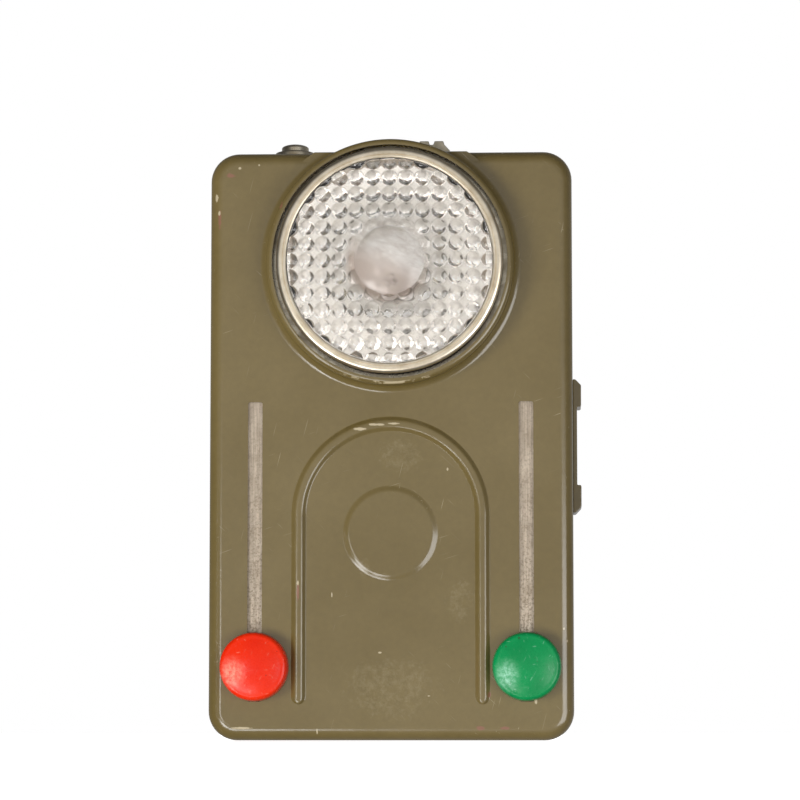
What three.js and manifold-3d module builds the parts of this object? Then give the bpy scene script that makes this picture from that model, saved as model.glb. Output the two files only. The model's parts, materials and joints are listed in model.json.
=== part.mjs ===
// Hand-held signal flashlight in a pressed-steel case, with a pillow lens under a screwed ring,
// a red and a green filter on knobs, a Morse button and a switch on top, and a hinged rear cover.
// Millimetres. +Z is up, +X is to the viewer's right, the lens faces -Y.
// The origin is the centre of the case's flat bottom.

import * as THREE from "three";
import { mergeVertices } from "three/addons/utils/BufferGeometryUtils.js";
import Module from "manifold-3d";

const wasm = await Module();
wasm.setup();

// Clearances and general values
const gap = 0.3; // between neighbouring solids
const runGap = 0.2; // between a slide and what it runs behind
const filmGap = 0.15; // between a filter frame and its film
const overrun = 1; // how far a cutting tool runs past its work
const weld = 0.0001; // vertices closer than this are one

// Case
const caseWidth = 78;
const caseDepth = 30;
const sheet = 0.7; // pressed steel
const cornerRadius = 6.2;
const bendRadius = 3;
const coverDepth = 5.2;
const seam = 0.3;
const lipDepth = 2.8; // rear cover's lip inside the case
const lipSheet = 0.6;
const lipLanding = 1.3; // width of the lip's weld to the cover's rim

// Collar round the lens
const collarRise = 4.6;
const collarWall = 1.3; // collar's outer radius beyond its inner bore
const collarRound = 1.1;
const collarFoot = 2.2;
const bulgeReach = 6.5; // how far the collar carries on behind the face, over the top edge
const bulgeRound = 3.5;

// Arch bead and boss pressed into the face
const archRadius = 19.6;
const archCentreDrop = 27.7; // arch centre below the collar's foot
const archWidth = 3.3;
const archRise = 0.8;
const archFootHeight = 7.6;
const bossRadius = 9.6;
const bossHeight = 44;
const bossRise = 0.45;
const bossSlope = 0.7;

// Filter slots and knobs
const slotInset = 2.4; // slot strip from the filters' frames
const slotWidth = 3.1;
const slotLength = 64;
const slotFoot = 8.2;
const slotCorner = 0.5;
const knobRadius = 7.45;
const knobThick = 4.2;
const knobCrown = 0.7;
const knobRound = 1.1;
const knobDraft = 0.25;
const keyHeight = 14.2; // knob's key, which runs in the slot
const rivetRadius = 0.7;
const rivetHeadRadius = 1.6;
const rivetHead = 0.5;
const rivetReach = 3; // rivet's length inside the knob

// Filter slides
const slideSheet = 0.5;
const filmThick = 0.25;
const stripWidth = 4.6;
const stripFoot = 3; // strip below the slot's end
const filmLap = 0.8; // film over its frame
const frameRim = 2.2; // frame beyond its film at the sides
const frameFoot = 1.6; // frame below its film
const joggle = 0.6;
const joggleGap = 1.1;

// Chassis plate
const chassisSheet = 0.8;
const windowInset = 0.2; // window's edge inside the ring's sight
const railSheet = 0.6;
const railFoot = 4;
const flangeDepth = 8;
const flangeHeight = 90;
const stopDepth = 9;
const stopHeight = 12;
const stopSpacing = 32;
const shelfWidth = 8;
const shelfDepth = 7;
const shelfSpread = 16;

// Lens, ring and seat
const ringRadius = 24.3;
const ringMouthGap = 0.9;
const ringProud = 6.2; // ring's front before the case's face
const ringLip = 0.6;
const ringFace = 2.2; // from the ring's outside to its clear opening
const ringWall = 0.8;
const ringSkirt = 4.8;
const ringStep = 0.3;
const ringRound = 0.65;
const knurlCount = 60;
const knurlDepth = 0.3;
const knurlInset = 0.1;
const knurlFront = 0.5; // half of the smooth band before the knurl
const lensFlange = 1.4;
const lensCrown = 1.3;
const lensletPitch = 3.55;
const lensletRise = 0.75;
const lensletSteps = 2;
const bullseyeRadius = 7.4;
const bullseyeRise = 1.5;
const gasketThick = 0.9;
const gasketWall = 0.8;
const neckWall = 0.8;
const seatFlange = 1.3;
const seatSink = 0.3; // seat's back before the sheet's back

// Reflector, bulb and socket
const reflectorDepth = 15;
const reflectorSheet = 0.5;
const reflectorFlange = 1.5;
const reflectorHole = 5.9;
const reflectorClear = 0.4; // rim to the case's inside at the top
const bulbRadius = 5.5;
const bulbWall = 0.5;
const bulbNeck = 3.9;
const bulbNeckLength = 3;
const capRadius = 4.75;
const capWall = 0.4;
const capLength = 8.6;
const tipRadius = 2;
const tipLength = 0.9;
const socketWall = 0.6;
const socketLength = 6;
const socketFlangeRadius = 8.5;
const socketFlange = 0.6;

// Battery
const batteryWidth = 62;
const batteryHeight = 64;
const batteryThick = 22;
const batteryCorner = 9;
const batteryRim = 1.2;
const batterySink = 1.5;
const tongueSheet = 0.35;
const tongueWidth = 6;
const tongueSpread = 15;
const tongueRise = 2.2;
const tongueTop = 5;

// Terminal board and contacts
const boardThick = 1.6;
const boardWidth = 54;
const boardRise = 6.8; // board above the battery
const boardClear = 4.3; // board below the reflector's rim
const boardStep = 3; // how far the middle of the board reaches back past its sides
const boardStepWidth = 16;
const contactSheet = 0.4;
const contactWidth = 8;
const contactFoot = 8;
const barHeight = 4;
const barRise = 2;
const leafHeight = 7.3; // contact leaves below the case's top
const leafLength = 14;
const leafWidth = 6;
const boardRivetRadius = 1;
const boardRivetHead = 0.7;
const boardRivetHeadRadius = 1.9;

// Morse button
const buttonSpread = 21.4;
const buttonBack = 11; // button and switch axis behind the case's face
const buttonRadius = 2.95;
const buttonCrown = 0.9;
const buttonTop = 3.4;
const buttonBody = 3.2;
const buttonStroke = 1.5;
const bushWall = 0.4;
const bushTop = 1.75;
const bushNutRadius = 4.3;
const bushNut = 1.2;
const bushFlange = 0.6;
const nutNotch = 0.9; // width of the nut's spanner notches
const nutNotchDepth = 0.5;
const bushDepth = 3.2;
const bushLip = 0.7;
const stemRadius = 1.2;
const washerThick = 0.7;
const washerRadius = 2.4;
const springWire = 0.18;
const springTurns = 2.5;
const coilSteps = 8;
const coilSides = 5;

// Switch
const switchLength = 14.4;
const switchWidth = 7.4;
const switchRise = 3.4;
const switchPlinth = 1;
const switchEnd = 12.6; // right end of the knob from the middle
const switchTravel = 7;
const switchRidges = 4;
const switchInset = 1.2;
const ridgeDepth = 0.8;
const ridgeValley = 0.8;
const ridgeSlope = 0.25;
const neckLength = 8;
const neckWidth = 2.8;
const neckHead = 1;
const switchSheet = 0.6;
const switchPlateLeft = 12;
const switchPlateRight = 5.5;
const switchPlateWidth = 8;
const noseWidth = 2;

// Side catch
const catchLength = 29.1;
const catchWidth = 9;
const catchBack = 14; // catch's front edge behind the case's face
const catchRise = 0.5; // catch's middle above the case's
const catchStrip = 0.7;
const catchLugRise = 0.9;
const catchLug = 6;
const catchSlope = 1.3;
const catchTravel = 5;
const catchStudRadius = 1.2;
const catchStudSpread = 8;
const catchPlateSheet = 0.8;
const catchPlateHeight = 24;

// Rear hinge
const barrelRadius = 1.4;
const pinRadius = 0.7;
const pinClearance = 0.2;
const pinOverhang = 0.4;
const leafSheet = 0.6;
const fixedLeafDepth = 8;
const knuckleCount = 5;
const hingeEnd = 7.5; // hinge's ends from the case's top and bottom
const hingeRelief = 2; // walls cut back beyond the hinge's ends
const hingeInset = 0.1;

// Belt clip and battery spring on the rear cover
const clipWidth = 18;
const clipSheet = 0.8;
const clipTop = 18; // clip's top below the case's top
const clipPad = 18;
const clipReach = 46;
const clipStand = 3.4;
const clipTip = 6;
const clipTipOut = 2;
const clipRivetPitch = 9;
const clipRivetRadius = 1.3;
const clipRivetHead = 0.9;
const clipRivetHeadRadius = 2.4;
const springWidth = 12;
const springSheet = 0.4;
const springLength = 42;
const springFoot = 16;
const springBow = 1.9;

// Facets
const roundFacets = 48;
const middleFacets = 30;
const smallFacets = 16;
const tinyFacets = 8;
const barrelFacets = 12;
const cornerFacets = 4;
const bendFacets = 3;
const archFacets = 16;
const endShares = [0.35, 0.7, 0.92, 1]; // width of the bead at its ends
const beadOutside = [[-1, 0], [-0.62, 0.72], [-0.2, 1], [0.2, 1], [0.62, 0.72], [1, 0]];
const beadInside = [[-1, 0], [-0.45, 1], [0.45, 1], [1, 0]];
const domeShares = [0.3, 0.6, 0.85]; // rings of the bullseye

// Places that several pieces share
const batteryFootZ = sheet + gap + lipSheet + gap;
const batteryTopZ = batteryFootZ + batteryHeight;
const boardHeight = batteryTopZ + boardRise;
const boardTopZ = boardHeight + boardThick;
const ringSight = ringRadius - ringFace;
const windowRadius = ringSight - windowInset;
const mirrorRim = windowRadius + reflectorFlange;
const lensZ = boardTopZ + boardClear + mirrorRim;
const caseHeight = lensZ + mirrorRim + reflectorClear + sheet;
const faceY = -caseDepth / 2;
const rearY = caseDepth / 2;
const sheetBackY = faceY + sheet;
const innerHalf = caseWidth / 2 - sheet;
const innerTop = caseHeight - sheet;
const seamY = rearY - coverDepth;
const mouthRadius = ringRadius + ringMouthGap;
const collarRadius = mouthRadius + collarWall;
const collarFrontY = faceY - collarRise;
const ringFrontY = faceY - ringProud;
const lensRadius = ringRadius - ringWall - gap - gap;
const lensFrontY = ringFrontY + ringLip + gap;
const lensBackY = lensFrontY + lensFlange;
const gasketFrontY = lensBackY + gap;
const seatFrontY = gasketFrontY + gasketThick + gap;
const seatBackY = sheetBackY - seatSink;
const neckRadius = ringRadius - ringWall - gap;
const redPlateY = sheetBackY + runGap;
const redFilmY = redPlateY + slideSheet + filmGap;
const greenPlateY = redFilmY + filmThick + gap;
const greenFilmY = greenPlateY + slideSheet + filmGap;
const chassisY = greenFilmY + filmThick + gap;
const chassisBackY = chassisY + chassisSheet;
const filmHalf = ringSight;
const apertureRadius = filmHalf - filmLap;
const frameHalf = filmHalf + frameRim;
const slotSpread = frameHalf + slotInset + stripWidth / 2;
const slotTop = slotFoot + slotLength;
const knobRest = slotFoot + gap + keyHeight / 2;
const filterTravel = slotLength - keyHeight - 2 * gap;
const filterRestZ = lensZ - filterTravel;
const innerBend = bendRadius - sheet;
const bendReach = innerBend - Math.sqrt(innerBend ** 2 - (innerBend - runGap) ** 2);
const frameTopZ = innerTop - bendReach - gap - filterTravel;
const frameFootZ = filterRestZ - filmHalf - frameFoot;
const stripOuter = slotSpread + stripWidth / 2;
const stripInner = slotSpread - stripWidth / 2;
const mirrorY = chassisBackY + gap;
const reflectorFocus = windowRadius ** 2 / (4 * reflectorDepth);
const mirrorVertexY = mirrorY + reflectorDepth;
const mirrorHoleY = mirrorVertexY - reflectorHole ** 2 / (4 * reflectorFocus);
const socketFrontY = mirrorHoleY + reflectorSheet + gap;
const focusY = mirrorVertexY - reflectorFocus;
const bulbNeckY = focusY + Math.sqrt(bulbRadius ** 2 - bulbNeck ** 2) + bulbNeckLength;
const capY = bulbNeckY - bulbNeckLength / 2;
const capBackY = capY + capLength;
const tipY = capBackY + tipLength;
const plusY = tipY + gap;
const batteryY = chassisBackY + gap;
const batteryBackY = batteryY + batteryThick;
const boardSideY = plusY - gap - boardStep;
const minusY = boardSideY + gap;
const barZ = boardTopZ + barRise;
const leafZ = caseHeight - leafHeight;
const buttonY = faceY + buttonBack;
const bushBore = buttonRadius + runGap;
const bushRadius = bushBore + bushWall;
const switchX = switchEnd - switchLength / 2;
const switchPlateTopZ = innerTop - gap;
const hingeX = -caseWidth / 2 + hingeInset;
const hingeY = seamY + seam / 2;
const clipTopZ = caseHeight - clipTop;
const midZ = caseHeight / 2;
const catchZ = midZ + catchRise;

// Solids

function signedVolume(points, faces) {
  let sum = 0;
  const [a, b, c] = [new THREE.Vector3(), new THREE.Vector3(), new THREE.Vector3()];
  for (let i = 0; i < faces.length; i += 3) {
    a.fromArray(points, 3 * faces[i]);
    b.fromArray(points, 3 * faces[i + 1]);
    c.fromArray(points, 3 * faces[i + 2]);
    sum += a.dot(b.cross(c));
  }
  return sum;
}

// A closed geometry as a solid, without zero-area faces and with its faces pointing out.
function solid(geometry) {
  geometry.deleteAttribute("normal");
  geometry.deleteAttribute("uv");
  const welded = mergeVertices(geometry, weld);
  const points = new Float32Array(welded.attributes.position.array);
  const faces = [];
  for (let i = 0; i < welded.index.count; i += 3) {
    const [a, b, c] = [0, 1, 2].map((k) => welded.index.getX(i + k));
    if (a !== b && b !== c && c !== a) faces.push(a, b, c);
  }
  if (signedVolume(points, faces) < 0) faces.reverse();
  return new wasm.Manifold(
    new wasm.Mesh({ numProp: 3, vertProperties: points, triVerts: new Uint32Array(faces) }),
  );
}

const join = (first, ...rest) => rest.reduce((body, part) => body.add(part), first);
const cut = (first, ...tools) => tools.reduce((body, tool) => body.subtract(tool), first);

// Box between two limits on each axis.
function block([x0, x1], [y0, y1], [z0, z1]) {
  const box = new THREE.BoxGeometry(x1 - x0, y1 - y0, z1 - z0);
  return solid(box.translate((x0 + x1) / 2, (y0 + y1) / 2, (z0 + z1) / 2));
}

function roundRect([x0, x1], [z0, z1], radius) {
  const outline = new THREE.Shape();
  outline.absarc(x1 - radius, z0 + radius, radius, -Math.PI / 2, 0);
  outline.absarc(x1 - radius, z1 - radius, radius, 0, Math.PI / 2);
  outline.absarc(x0 + radius, z1 - radius, radius, Math.PI / 2, Math.PI);
  outline.absarc(x0 + radius, z0 + radius, radius, Math.PI, 1.5 * Math.PI);
  outline.closePath();
  return outline;
}

function polygon(points) {
  return new THREE.Shape(points.map(([a, b]) => new THREE.Vector2(a, b)));
}

const alongX = new THREE.Matrix4().makeBasis(
  new THREE.Vector3(0, 1, 0),
  new THREE.Vector3(0, 0, 1),
  new THREE.Vector3(1, 0, 0),
);
const alongY = new THREE.Matrix4().makeBasis(
  new THREE.Vector3(1, 0, 0),
  new THREE.Vector3(0, 0, 1),
  new THREE.Vector3(0, -1, 0),
);

// An X-Z outline between two depths.
function plate(outline, [y0, y1], curveSegments = cornerFacets) {
  const body = new THREE.ExtrudeGeometry(outline, {
    depth: y1 - y0,
    bevelEnabled: false,
    curveSegments,
  });
  return solid(body.applyMatrix4(alongY).translate(0, y1, 0));
}

// A Y-Z outline between two places along X.
function bar(outline, [x0, x1], curveSegments = cornerFacets) {
  const body = new THREE.ExtrudeGeometry(outline, {
    depth: x1 - x0,
    bevelEnabled: false,
    curveSegments,
  });
  return solid(body.applyMatrix4(alongX).translate(x0, 0, 0));
}

// An X-Y outline between two heights.
function post(outline, [z0, z1], curveSegments = cornerFacets) {
  const body = new THREE.ExtrudeGeometry(outline, {
    depth: z1 - z0,
    bevelEnabled: false,
    curveSegments,
  });
  return solid(body.translate(0, 0, z0));
}

// A radius-depth profile turned about an axis along Y.
function turnedY(profile, x, z, facets = roundFacets) {
  const points = profile.map(([r, y]) => new THREE.Vector2(r, y));
  return solid(new THREE.LatheGeometry(points, facets).translate(x, 0, z));
}

// A radius-height profile turned about an axis along Z.
function turnedZ(profile, x, y, facets = smallFacets) {
  const points = profile.map(([r, z]) => new THREE.Vector2(r, z));
  return solid(new THREE.LatheGeometry(points, facets).rotateX(Math.PI / 2).translate(x, y, 0));
}

const discY = (radius, [y0, y1], x, z, facets = roundFacets) =>
  turnedY([[0, y0], [radius, y0], [radius, y1], [0, y1]], x, z, facets);
const discZ = (radius, [z0, z1], x, y, facets = smallFacets) =>
  turnedZ([[0, z0], [radius, z0], [radius, z1], [0, z1]], x, y, facets);
const ringY = ([r0, r1], [y0, y1], x, z, facets = roundFacets) =>
  turnedY([[r0, y0], [r1, y0], [r1, y1], [r0, y1], [r0, y0]], x, z, facets);

// Points on an arc about (a, b), angles in quarter turns.
function arc(a, b, radius, from, to, steps) {
  return Array.from({ length: steps + 1 }, (_, i) => {
    const angle = ((from + ((to - from) * i) / steps) * Math.PI) / 2;
    return [a + radius * Math.cos(angle), b + radius * Math.sin(angle)];
  });
}

// Rings of points joined in order, with both ends closed.
function loft(rings) {
  const count = rings[0].length;
  const last = (rings.length - 1) * count;
  const faces = [];
  for (let i = 0; i + 1 < rings.length; i += 1) {
    for (let k = 0; k < count; k += 1) {
      const a = i * count + k;
      const b = i * count + ((k + 1) % count);
      faces.push(a, b, b + count, a, b + count, a + count);
    }
  }
  for (let k = 1; k + 1 < count; k += 1) {
    faces.push(0, k + 1, k, last, last + k, last + k + 1);
  }
  const geometry = new THREE.BufferGeometry();
  const points = rings.flat().flatMap((point) => point.toArray());
  geometry.setAttribute("position", new THREE.Float32BufferAttribute(points, 3));
  geometry.setIndex(faces);
  return solid(geometry);
}

// Outline of a bent strip of sheet that follows a line of points.
function ribbon(line, thickness) {
  const points = line.map(([a, b]) => new THREE.Vector2(a, b));
  const side = (sign) =>
    points.map((point, i) => {
      const before = point.clone().sub(points[Math.max(i - 1, 0)]).normalize();
      const after = points[Math.min(i + 1, points.length - 1)].clone().sub(point).normalize();
      const way = before.clone().add(after).normalize();
      const edge = before.length() ? before : after;
      const spread = way.dot(edge);
      const normal = new THREE.Vector2(-way.y, way.x);
      return point.clone().addScaledVector(normal, (sign * thickness) / 2 / spread);
    });
  return new THREE.Shape([...side(1), ...side(-1).reverse()]);
}

// Box with round corners about Y. The edge at y is bent over; towards the other end, which is
// behind it for a facing of 1 and before it for -1, the sides run straight for the depth.
function bentBox([x0, x1], [z0, z1], corner, bend, y, facing, depth) {
  const body = new THREE.ExtrudeGeometry(roundRect([x0, x1], [z0, z1], corner), {
    depth: depth + overrun,
    bevelThickness: bend,
    bevelSize: bend,
    bevelOffset: -bend,
    bevelSegments: bendFacets,
    curveSegments: cornerFacets,
  });
  body.translate(0, 0, bend).applyMatrix4(alongY);
  if (facing < 0) body.rotateZ(Math.PI);
  const end = y - facing * depth;
  const past = end - facing * 3 * (overrun + bend);
  return cut(solid(body.translate(0, y, 0)), block([x0 - overrun, x1 + overrun],
    [Math.min(end, past), Math.max(end, past)], [z0 - overrun, z1 + overrun]));
}

// Case

const halfWidths = (inset) => [-caseWidth / 2 + inset, caseWidth / 2 - inset];
const heights = (inset) => [inset, caseHeight - inset];

function caseBlank(inset, y, facing, depth) {
  return bentBox(halfWidths(inset), heights(inset), cornerRadius - inset, bendRadius - inset,
    y, facing, depth);
}

// The collar's outside: round lip, drum, and a rounded end behind the face.
function collarOutside(inset, steps) {
  const radius = collarRadius - inset;
  const front = collarFrontY + inset;
  const back = faceY + bulgeReach - inset;
  const lip = collarRound - inset / 2;
  const end = bulgeRound - inset;
  return turnedY([
    [0, front],
    ...arc(radius - lip, front + lip, lip, -1, 0, steps),
    ...arc(radius - end, back - end, end, 0, 1, steps),
    [0, back],
  ], 0, lensZ);
}

// The fillet between the face and the collar, kept inside the case's outline.
function collarFillet() {
  const rim = collarRadius + collarFoot;
  const inner = collarRadius - sheet / 2;
  const flare = turnedY([
    [inner, faceY + bendRadius],
    [rim, faceY + bendRadius],
    ...arc(rim, faceY - collarFoot, collarFoot, 1, 2, bendFacets),
    [inner, faceY - collarFoot],
    [inner, faceY + bendRadius],
  ], 0, lensZ);
  return flare.intersect(caseBlank(0, faceY - collarFoot, -1, caseDepth));
}

// Inverted U bead: a round-topped section carried up one leg, over the arch and down the other.
function archBead(shape, width, floorY) {
  const topY = floorY - sheet / 2;
  const centreZ = lensZ - collarRadius - archCentreDrop;
  const half = width / 2;
  const section = (x, z, outX, outZ, share) => [
    ...shape.map(([across, up]) => new THREE.Vector3(
      x + outX * across * half * share,
      topY - archRise * up * share,
      z + outZ * across * half * share,
    )),
    new THREE.Vector3(x + outX * half * share, floorY, z + outZ * half * share),
    new THREE.Vector3(x - outX * half * share, floorY, z - outZ * half * share),
  ];
  const footZ = (share) => archFootHeight + half * (1 - Math.sqrt(1 - share ** 2));
  const leg = (side) => endShares.map((share) =>
    section(side * archRadius, footZ(share), side, 0, share));
  const top = Array.from({ length: archFacets + 1 }, (_, i) => {
    const angle = Math.PI - (Math.PI * i) / archFacets;
    const [outX, outZ] = [Math.cos(angle), Math.sin(angle)];
    return section(archRadius * outX, centreZ + archRadius * outZ, outX, outZ, 1);
  });
  return loft([...leg(-1), ...top, ...leg(1).reverse()]);
}

function bossPress(radius, floorY) {
  const topY = floorY - sheet / 2;
  return turnedY([
    [0, topY - bossRise],
    [radius - bossSlope, topY - bossRise],
    [radius, topY],
    [radius, floorY],
    [0, floorY],
  ], 0, bossHeight, middleFacets);
}

function filterSlot(side) {
  const [x0, x1] = [side * slotSpread - slotWidth / 2, side * slotSpread + slotWidth / 2];
  return plate(roundRect([x0, x1], [slotFoot, slotTop], slotCorner),
    [faceY - overrun, sheetBackY + overrun], bendFacets);
}

function catchStudSlot(side) {
  const z = catchZ + side * catchStudSpread;
  const half = catchStudRadius + gap;
  return block([innerHalf - overrun, caseWidth / 2 + overrun],
    [catchMidY() - half, catchMidY() + half], [z - half, z + half + catchTravel]);
}

const catchMidY = () => faceY + catchBack + catchWidth / 2;

function frontHousing() {
  const outside = join(caseBlank(0, faceY, -1, seamY - faceY), collarOutside(0, bendFacets),
    collarFillet(), archBead(beadOutside, archWidth, faceY + sheet / 2),
    bossPress(bossRadius, faceY + sheet / 2));
  const inside = join(caseBlank(sheet, sheetBackY, -1, caseDepth), collarOutside(sheet, 1),
    archBead(beadInside, archWidth - sheet, sheetBackY + sheet / 2),
    bossPress(bossRadius - sheet, sheetBackY + sheet / 2));
  const mouth = discY(mouthRadius, [collarFrontY - overrun, faceY], 0, lensZ);
  const bushHole = discZ(bushRadius + gap, [innerTop - overrun, caseHeight + overrun],
    -buttonSpread, buttonY);
  const [neckLeft, neckRight] = [switchX - neckLength / 2, switchX + neckLength / 2];
  const switchSlot = block([neckLeft - switchTravel - gap, neckRight + gap],
    [buttonY - neckWidth / 2 - gap, buttonY + neckWidth / 2 + gap],
    [innerTop - overrun, caseHeight + overrun]);
  const relief = block([-caseWidth / 2 - overrun, hingeX + barrelRadius + gap],
    [hingeY - barrelRadius - gap, rearY],
    [hingeEnd - hingeRelief, caseHeight - hingeEnd + hingeRelief]);
  return cut(outside, inside, mouth, filterSlot(-1), filterSlot(1), bushHole, switchSlot,
    catchStudSlot(-1), catchStudSlot(1), relief);
}

// Rear cover: a shallow tray whose welded lip stands inside the case on three sides.
function rearCover() {
  const tray = cut(caseBlank(0, rearY, 1, coverDepth - seam),
    caseBlank(sheet, rearY - sheet, 1, caseDepth));
  const band = (outer, y0, y1) => cut(
    plate(roundRect(halfWidths(outer), heights(outer), cornerRadius - outer), [y0, y1]),
    plate(roundRect(halfWidths(sheet + gap + lipSheet), heights(sheet + gap + lipSheet),
      cornerRadius - sheet - gap - lipSheet), [y0 - overrun, y1 + overrun]),
  );
  const lip = join(band(sheet + gap, seamY - lipDepth, seamY + seam + lipLanding),
    band(sheet / 2, seamY + seam, seamY + seam + lipLanding));
  const hingeSide = [-caseWidth / 2 - overrun, -caseWidth / 2 + cornerRadius + gap];
  const openLip = cut(lip, block(hingeSide, [seamY - lipDepth - overrun, rearY], heights(-overrun)));
  const relief = block([-caseWidth / 2 - overrun, hingeX + barrelRadius + gap],
    [seamY, hingeY + barrelRadius + gap],
    [hingeEnd - hingeRelief, caseHeight - hingeEnd + hingeRelief]);
  const rivetHoles = clipRivetHeights().map((z) =>
    discY(clipRivetRadius + gap, [rearY - sheet - overrun, rearY + overrun], 0, z, tinyFacets));
  return cut(join(tray, openLip), relief, ...rivetHoles);
}

const clipRivetHeights = () => {
  const middle = clipTopZ - clipPad / 2;
  return [middle - clipRivetPitch / 2, middle + clipRivetPitch / 2];
};

// Hinge

function knuckleSpans(kind) {
  const length = caseHeight - 2 * hingeEnd;
  const step = (length + gap) / knuckleCount;
  return Array.from({ length: knuckleCount }, (_, i) => [hingeEnd + i * step,
    hingeEnd + (i + 1) * step - gap]).filter((_, i) => i % 2 === kind);
}

function hingeLeaf(kind, [y0, y1]) {
  const x0 = -innerHalf + gap;
  const reach = barrelRadius + gap;
  const leaf = block([x0, x0 + leafSheet], [y0, y1], [hingeEnd, caseHeight - hingeEnd]);
  const barrels = knuckleSpans(kind).map((span) =>
    discZ(barrelRadius, span, hingeX, hingeY, barrelFacets));
  const notches = knuckleSpans(1 - kind).map(([z0, z1]) =>
    block([x0 - overrun, x0 + leafSheet + overrun], [hingeY - reach, hingeY + reach],
      [z0 - gap, z1 + gap]));
  const bore = discZ(pinRadius + pinClearance, [0, caseHeight], hingeX, hingeY,
    barrelFacets);
  return cut(join(cut(leaf, ...notches), ...barrels), bore);
}

const hingePin = () => discZ(pinRadius,
  [hingeEnd - pinOverhang, caseHeight - hingeEnd + pinOverhang], hingeX, hingeY, tinyFacets);

// Side catch: a strip with a turned-up lug at each end, and two studs through the case's wall.
function catchSlide() {
  const x0 = caseWidth / 2 + gap;
  const half = catchLength / 2;
  const strip = x0 + catchStrip;
  const lug = strip + catchLugRise;
  const end = (sign) => [
    [sign * (half - catchLug), strip],
    [sign * (half - catchLug), lug],
    [sign * (half - catchSlope), lug],
    [sign * half, x0 + catchStrip / 2],
    [sign * half, x0],
  ];
  const outline = polygon([...end(1), ...end(-1).reverse()].map(([z, x]) => [x, catchZ + z]));
  const catchY = [faceY + catchBack, faceY + catchBack + catchWidth];
  const studs = [-1, 1].map((side) => catchStud(side, catchStudRadius,
    [innerHalf - gap - catchPlateSheet - gap, x0 + catchStrip / 2]));
  return join(plate(outline, catchY), ...studs);
}

function catchStud(side, radius, [x0, x1]) {
  const rod = new THREE.CylinderGeometry(radius, radius, x1 - x0, tinyFacets);
  return solid(rod.rotateZ(Math.PI / 2).translate((x0 + x1) / 2, catchMidY(),
    catchZ + side * catchStudSpread));
}

function catchPlate() {
  const x1 = innerHalf - gap;
  const body = block([x1 - catchPlateSheet, x1], [faceY + catchBack, seamY - lipDepth - gap],
    [catchZ - catchPlateHeight / 2, catchZ + catchPlateHeight / 2]);
  return cut(body, ...[-1, 1].map((side) => catchStud(side, catchStudRadius + runGap,
    [x1 - catchPlateSheet - overrun, x1 + overrun])));
}

// Lens group

function knurl() {
  const points = Array.from({ length: knurlCount * 2 }, (_, i) => {
    const radius = ringRadius - knurlInset - (i % 2) * knurlDepth;
    const angle = (Math.PI * i) / knurlCount;
    return [radius * Math.cos(angle), radius * Math.sin(angle) + lensZ];
  });
  return plate(polygon(points), [ringFrontY + knurlFront, ringFrontY + ringSkirt]);
}

function lensRing() {
  const inner = ringRadius - ringWall;
  const stepY = ringFrontY + ringStep;
  const front = turnedY([
    [ringSight, ringFrontY + ringLip],
    [ringSight, ringFrontY + ringLip / 2],
    [ringSight + ringLip / 2, ringFrontY],
    [inner, ringFrontY],
    [inner, stepY],
    ...arc(ringRadius - ringRound, stepY + ringRound, ringRound, -1, 0, 2),
    [ringRadius, ringFrontY + 2 * knurlFront],
    [inner, ringFrontY + 2 * knurlFront],
    [inner, ringFrontY + ringLip],
    [ringSight, ringFrontY + ringLip],
  ], 0, lensZ);
  const bore = discY(inner, [ringFrontY - overrun, ringFrontY + ringSkirt + overrun], 0, lensZ);
  return join(front, cut(knurl(), bore));
}

// The pillow face: one cushion to each square of the grid, on a crowned disc.
function lensDepth(x, z) {
  const cushion = (a) => a / lensletPitch - Math.round(a / lensletPitch);
  const pillow = 1 - 2 * (cushion(x) ** 2 + cushion(z) ** 2);
  const crown = 1 - (x * x + z * z) / (lensRadius * lensRadius);
  return lensFrontY - lensCrown * crown - lensletRise * pillow;
}

function pillowBlank() {
  const cells = Math.ceil((2 * ringSight) / lensletPitch);
  const count = cells * lensletSteps + 1;
  const start = (-cells * lensletPitch) / 2;
  const step = lensletPitch / lensletSteps;
  const rows = Array.from({ length: count }, (_, i) => start + i * step);
  const layer = (depth) => rows.flatMap((z) => rows.map((x) => [x, depth(x, z), z + lensZ]));
  const points = [...layer(lensDepth), ...layer(() => lensBackY + overrun)];
  const faces = [];
  const quad = (a, b, c, d) => faces.push(a, b, c, a, c, d);
  const back = count * count;
  for (let j = 0; j + 1 < count; j += 1) {
    for (let i = 0; i + 1 < count; i += 1) {
      const a = j * count + i;
      quad(a, a + 1, a + count + 1, a + count);
    }
    const [low, high] = [j * count, (j + 1) * count];
    quad(low, high, high + back, low + back);
    quad(low + count - 1, low + back + count - 1, high + back + count - 1, high + count - 1);
    quad(j, j + back, j + 1 + back, j + 1);
    const top = back - count + j;
    quad(top, top + 1, top + 1 + back, top + back);
  }
  for (let j = 0; j + 1 < count; j += 1) {
    for (let i = 0; i + 1 < count; i += 1) {
      const a = back + j * count + i;
      quad(a, a + count, a + count + 1, a + 1);
    }
  }
  const geometry = new THREE.BufferGeometry();
  geometry.setAttribute("position", new THREE.Float32BufferAttribute(points.flat(), 3));
  geometry.setIndex(faces);
  return solid(geometry);
}

function lens() {
  const reach = [ringFrontY - lensCrown - lensletRise - bullseyeRise - overrun, lensBackY];
  const field = cut(pillowBlank().intersect(discY(ringSight - runGap, reach, 0, lensZ)),
    discY(bullseyeRadius, reach, 0, lensZ, middleFacets));
  const rimY = lensFrontY - lensCrown;
  const dome = turnedY([
    [0, lensBackY],
    [0, rimY - bullseyeRise],
    ...domeShares.map((share) => [bullseyeRadius * share,
      rimY - bullseyeRise * (1 - share ** 2)]),
    [bullseyeRadius + gap, rimY],
    [bullseyeRadius + gap, lensBackY],
    [0, lensBackY],
  ], 0, lensZ, middleFacets);
  const flange = ringY([ringSight - gap - runGap, lensRadius], [lensFrontY, lensBackY], 0, lensZ);
  return join(field, dome, flange);
}

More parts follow.
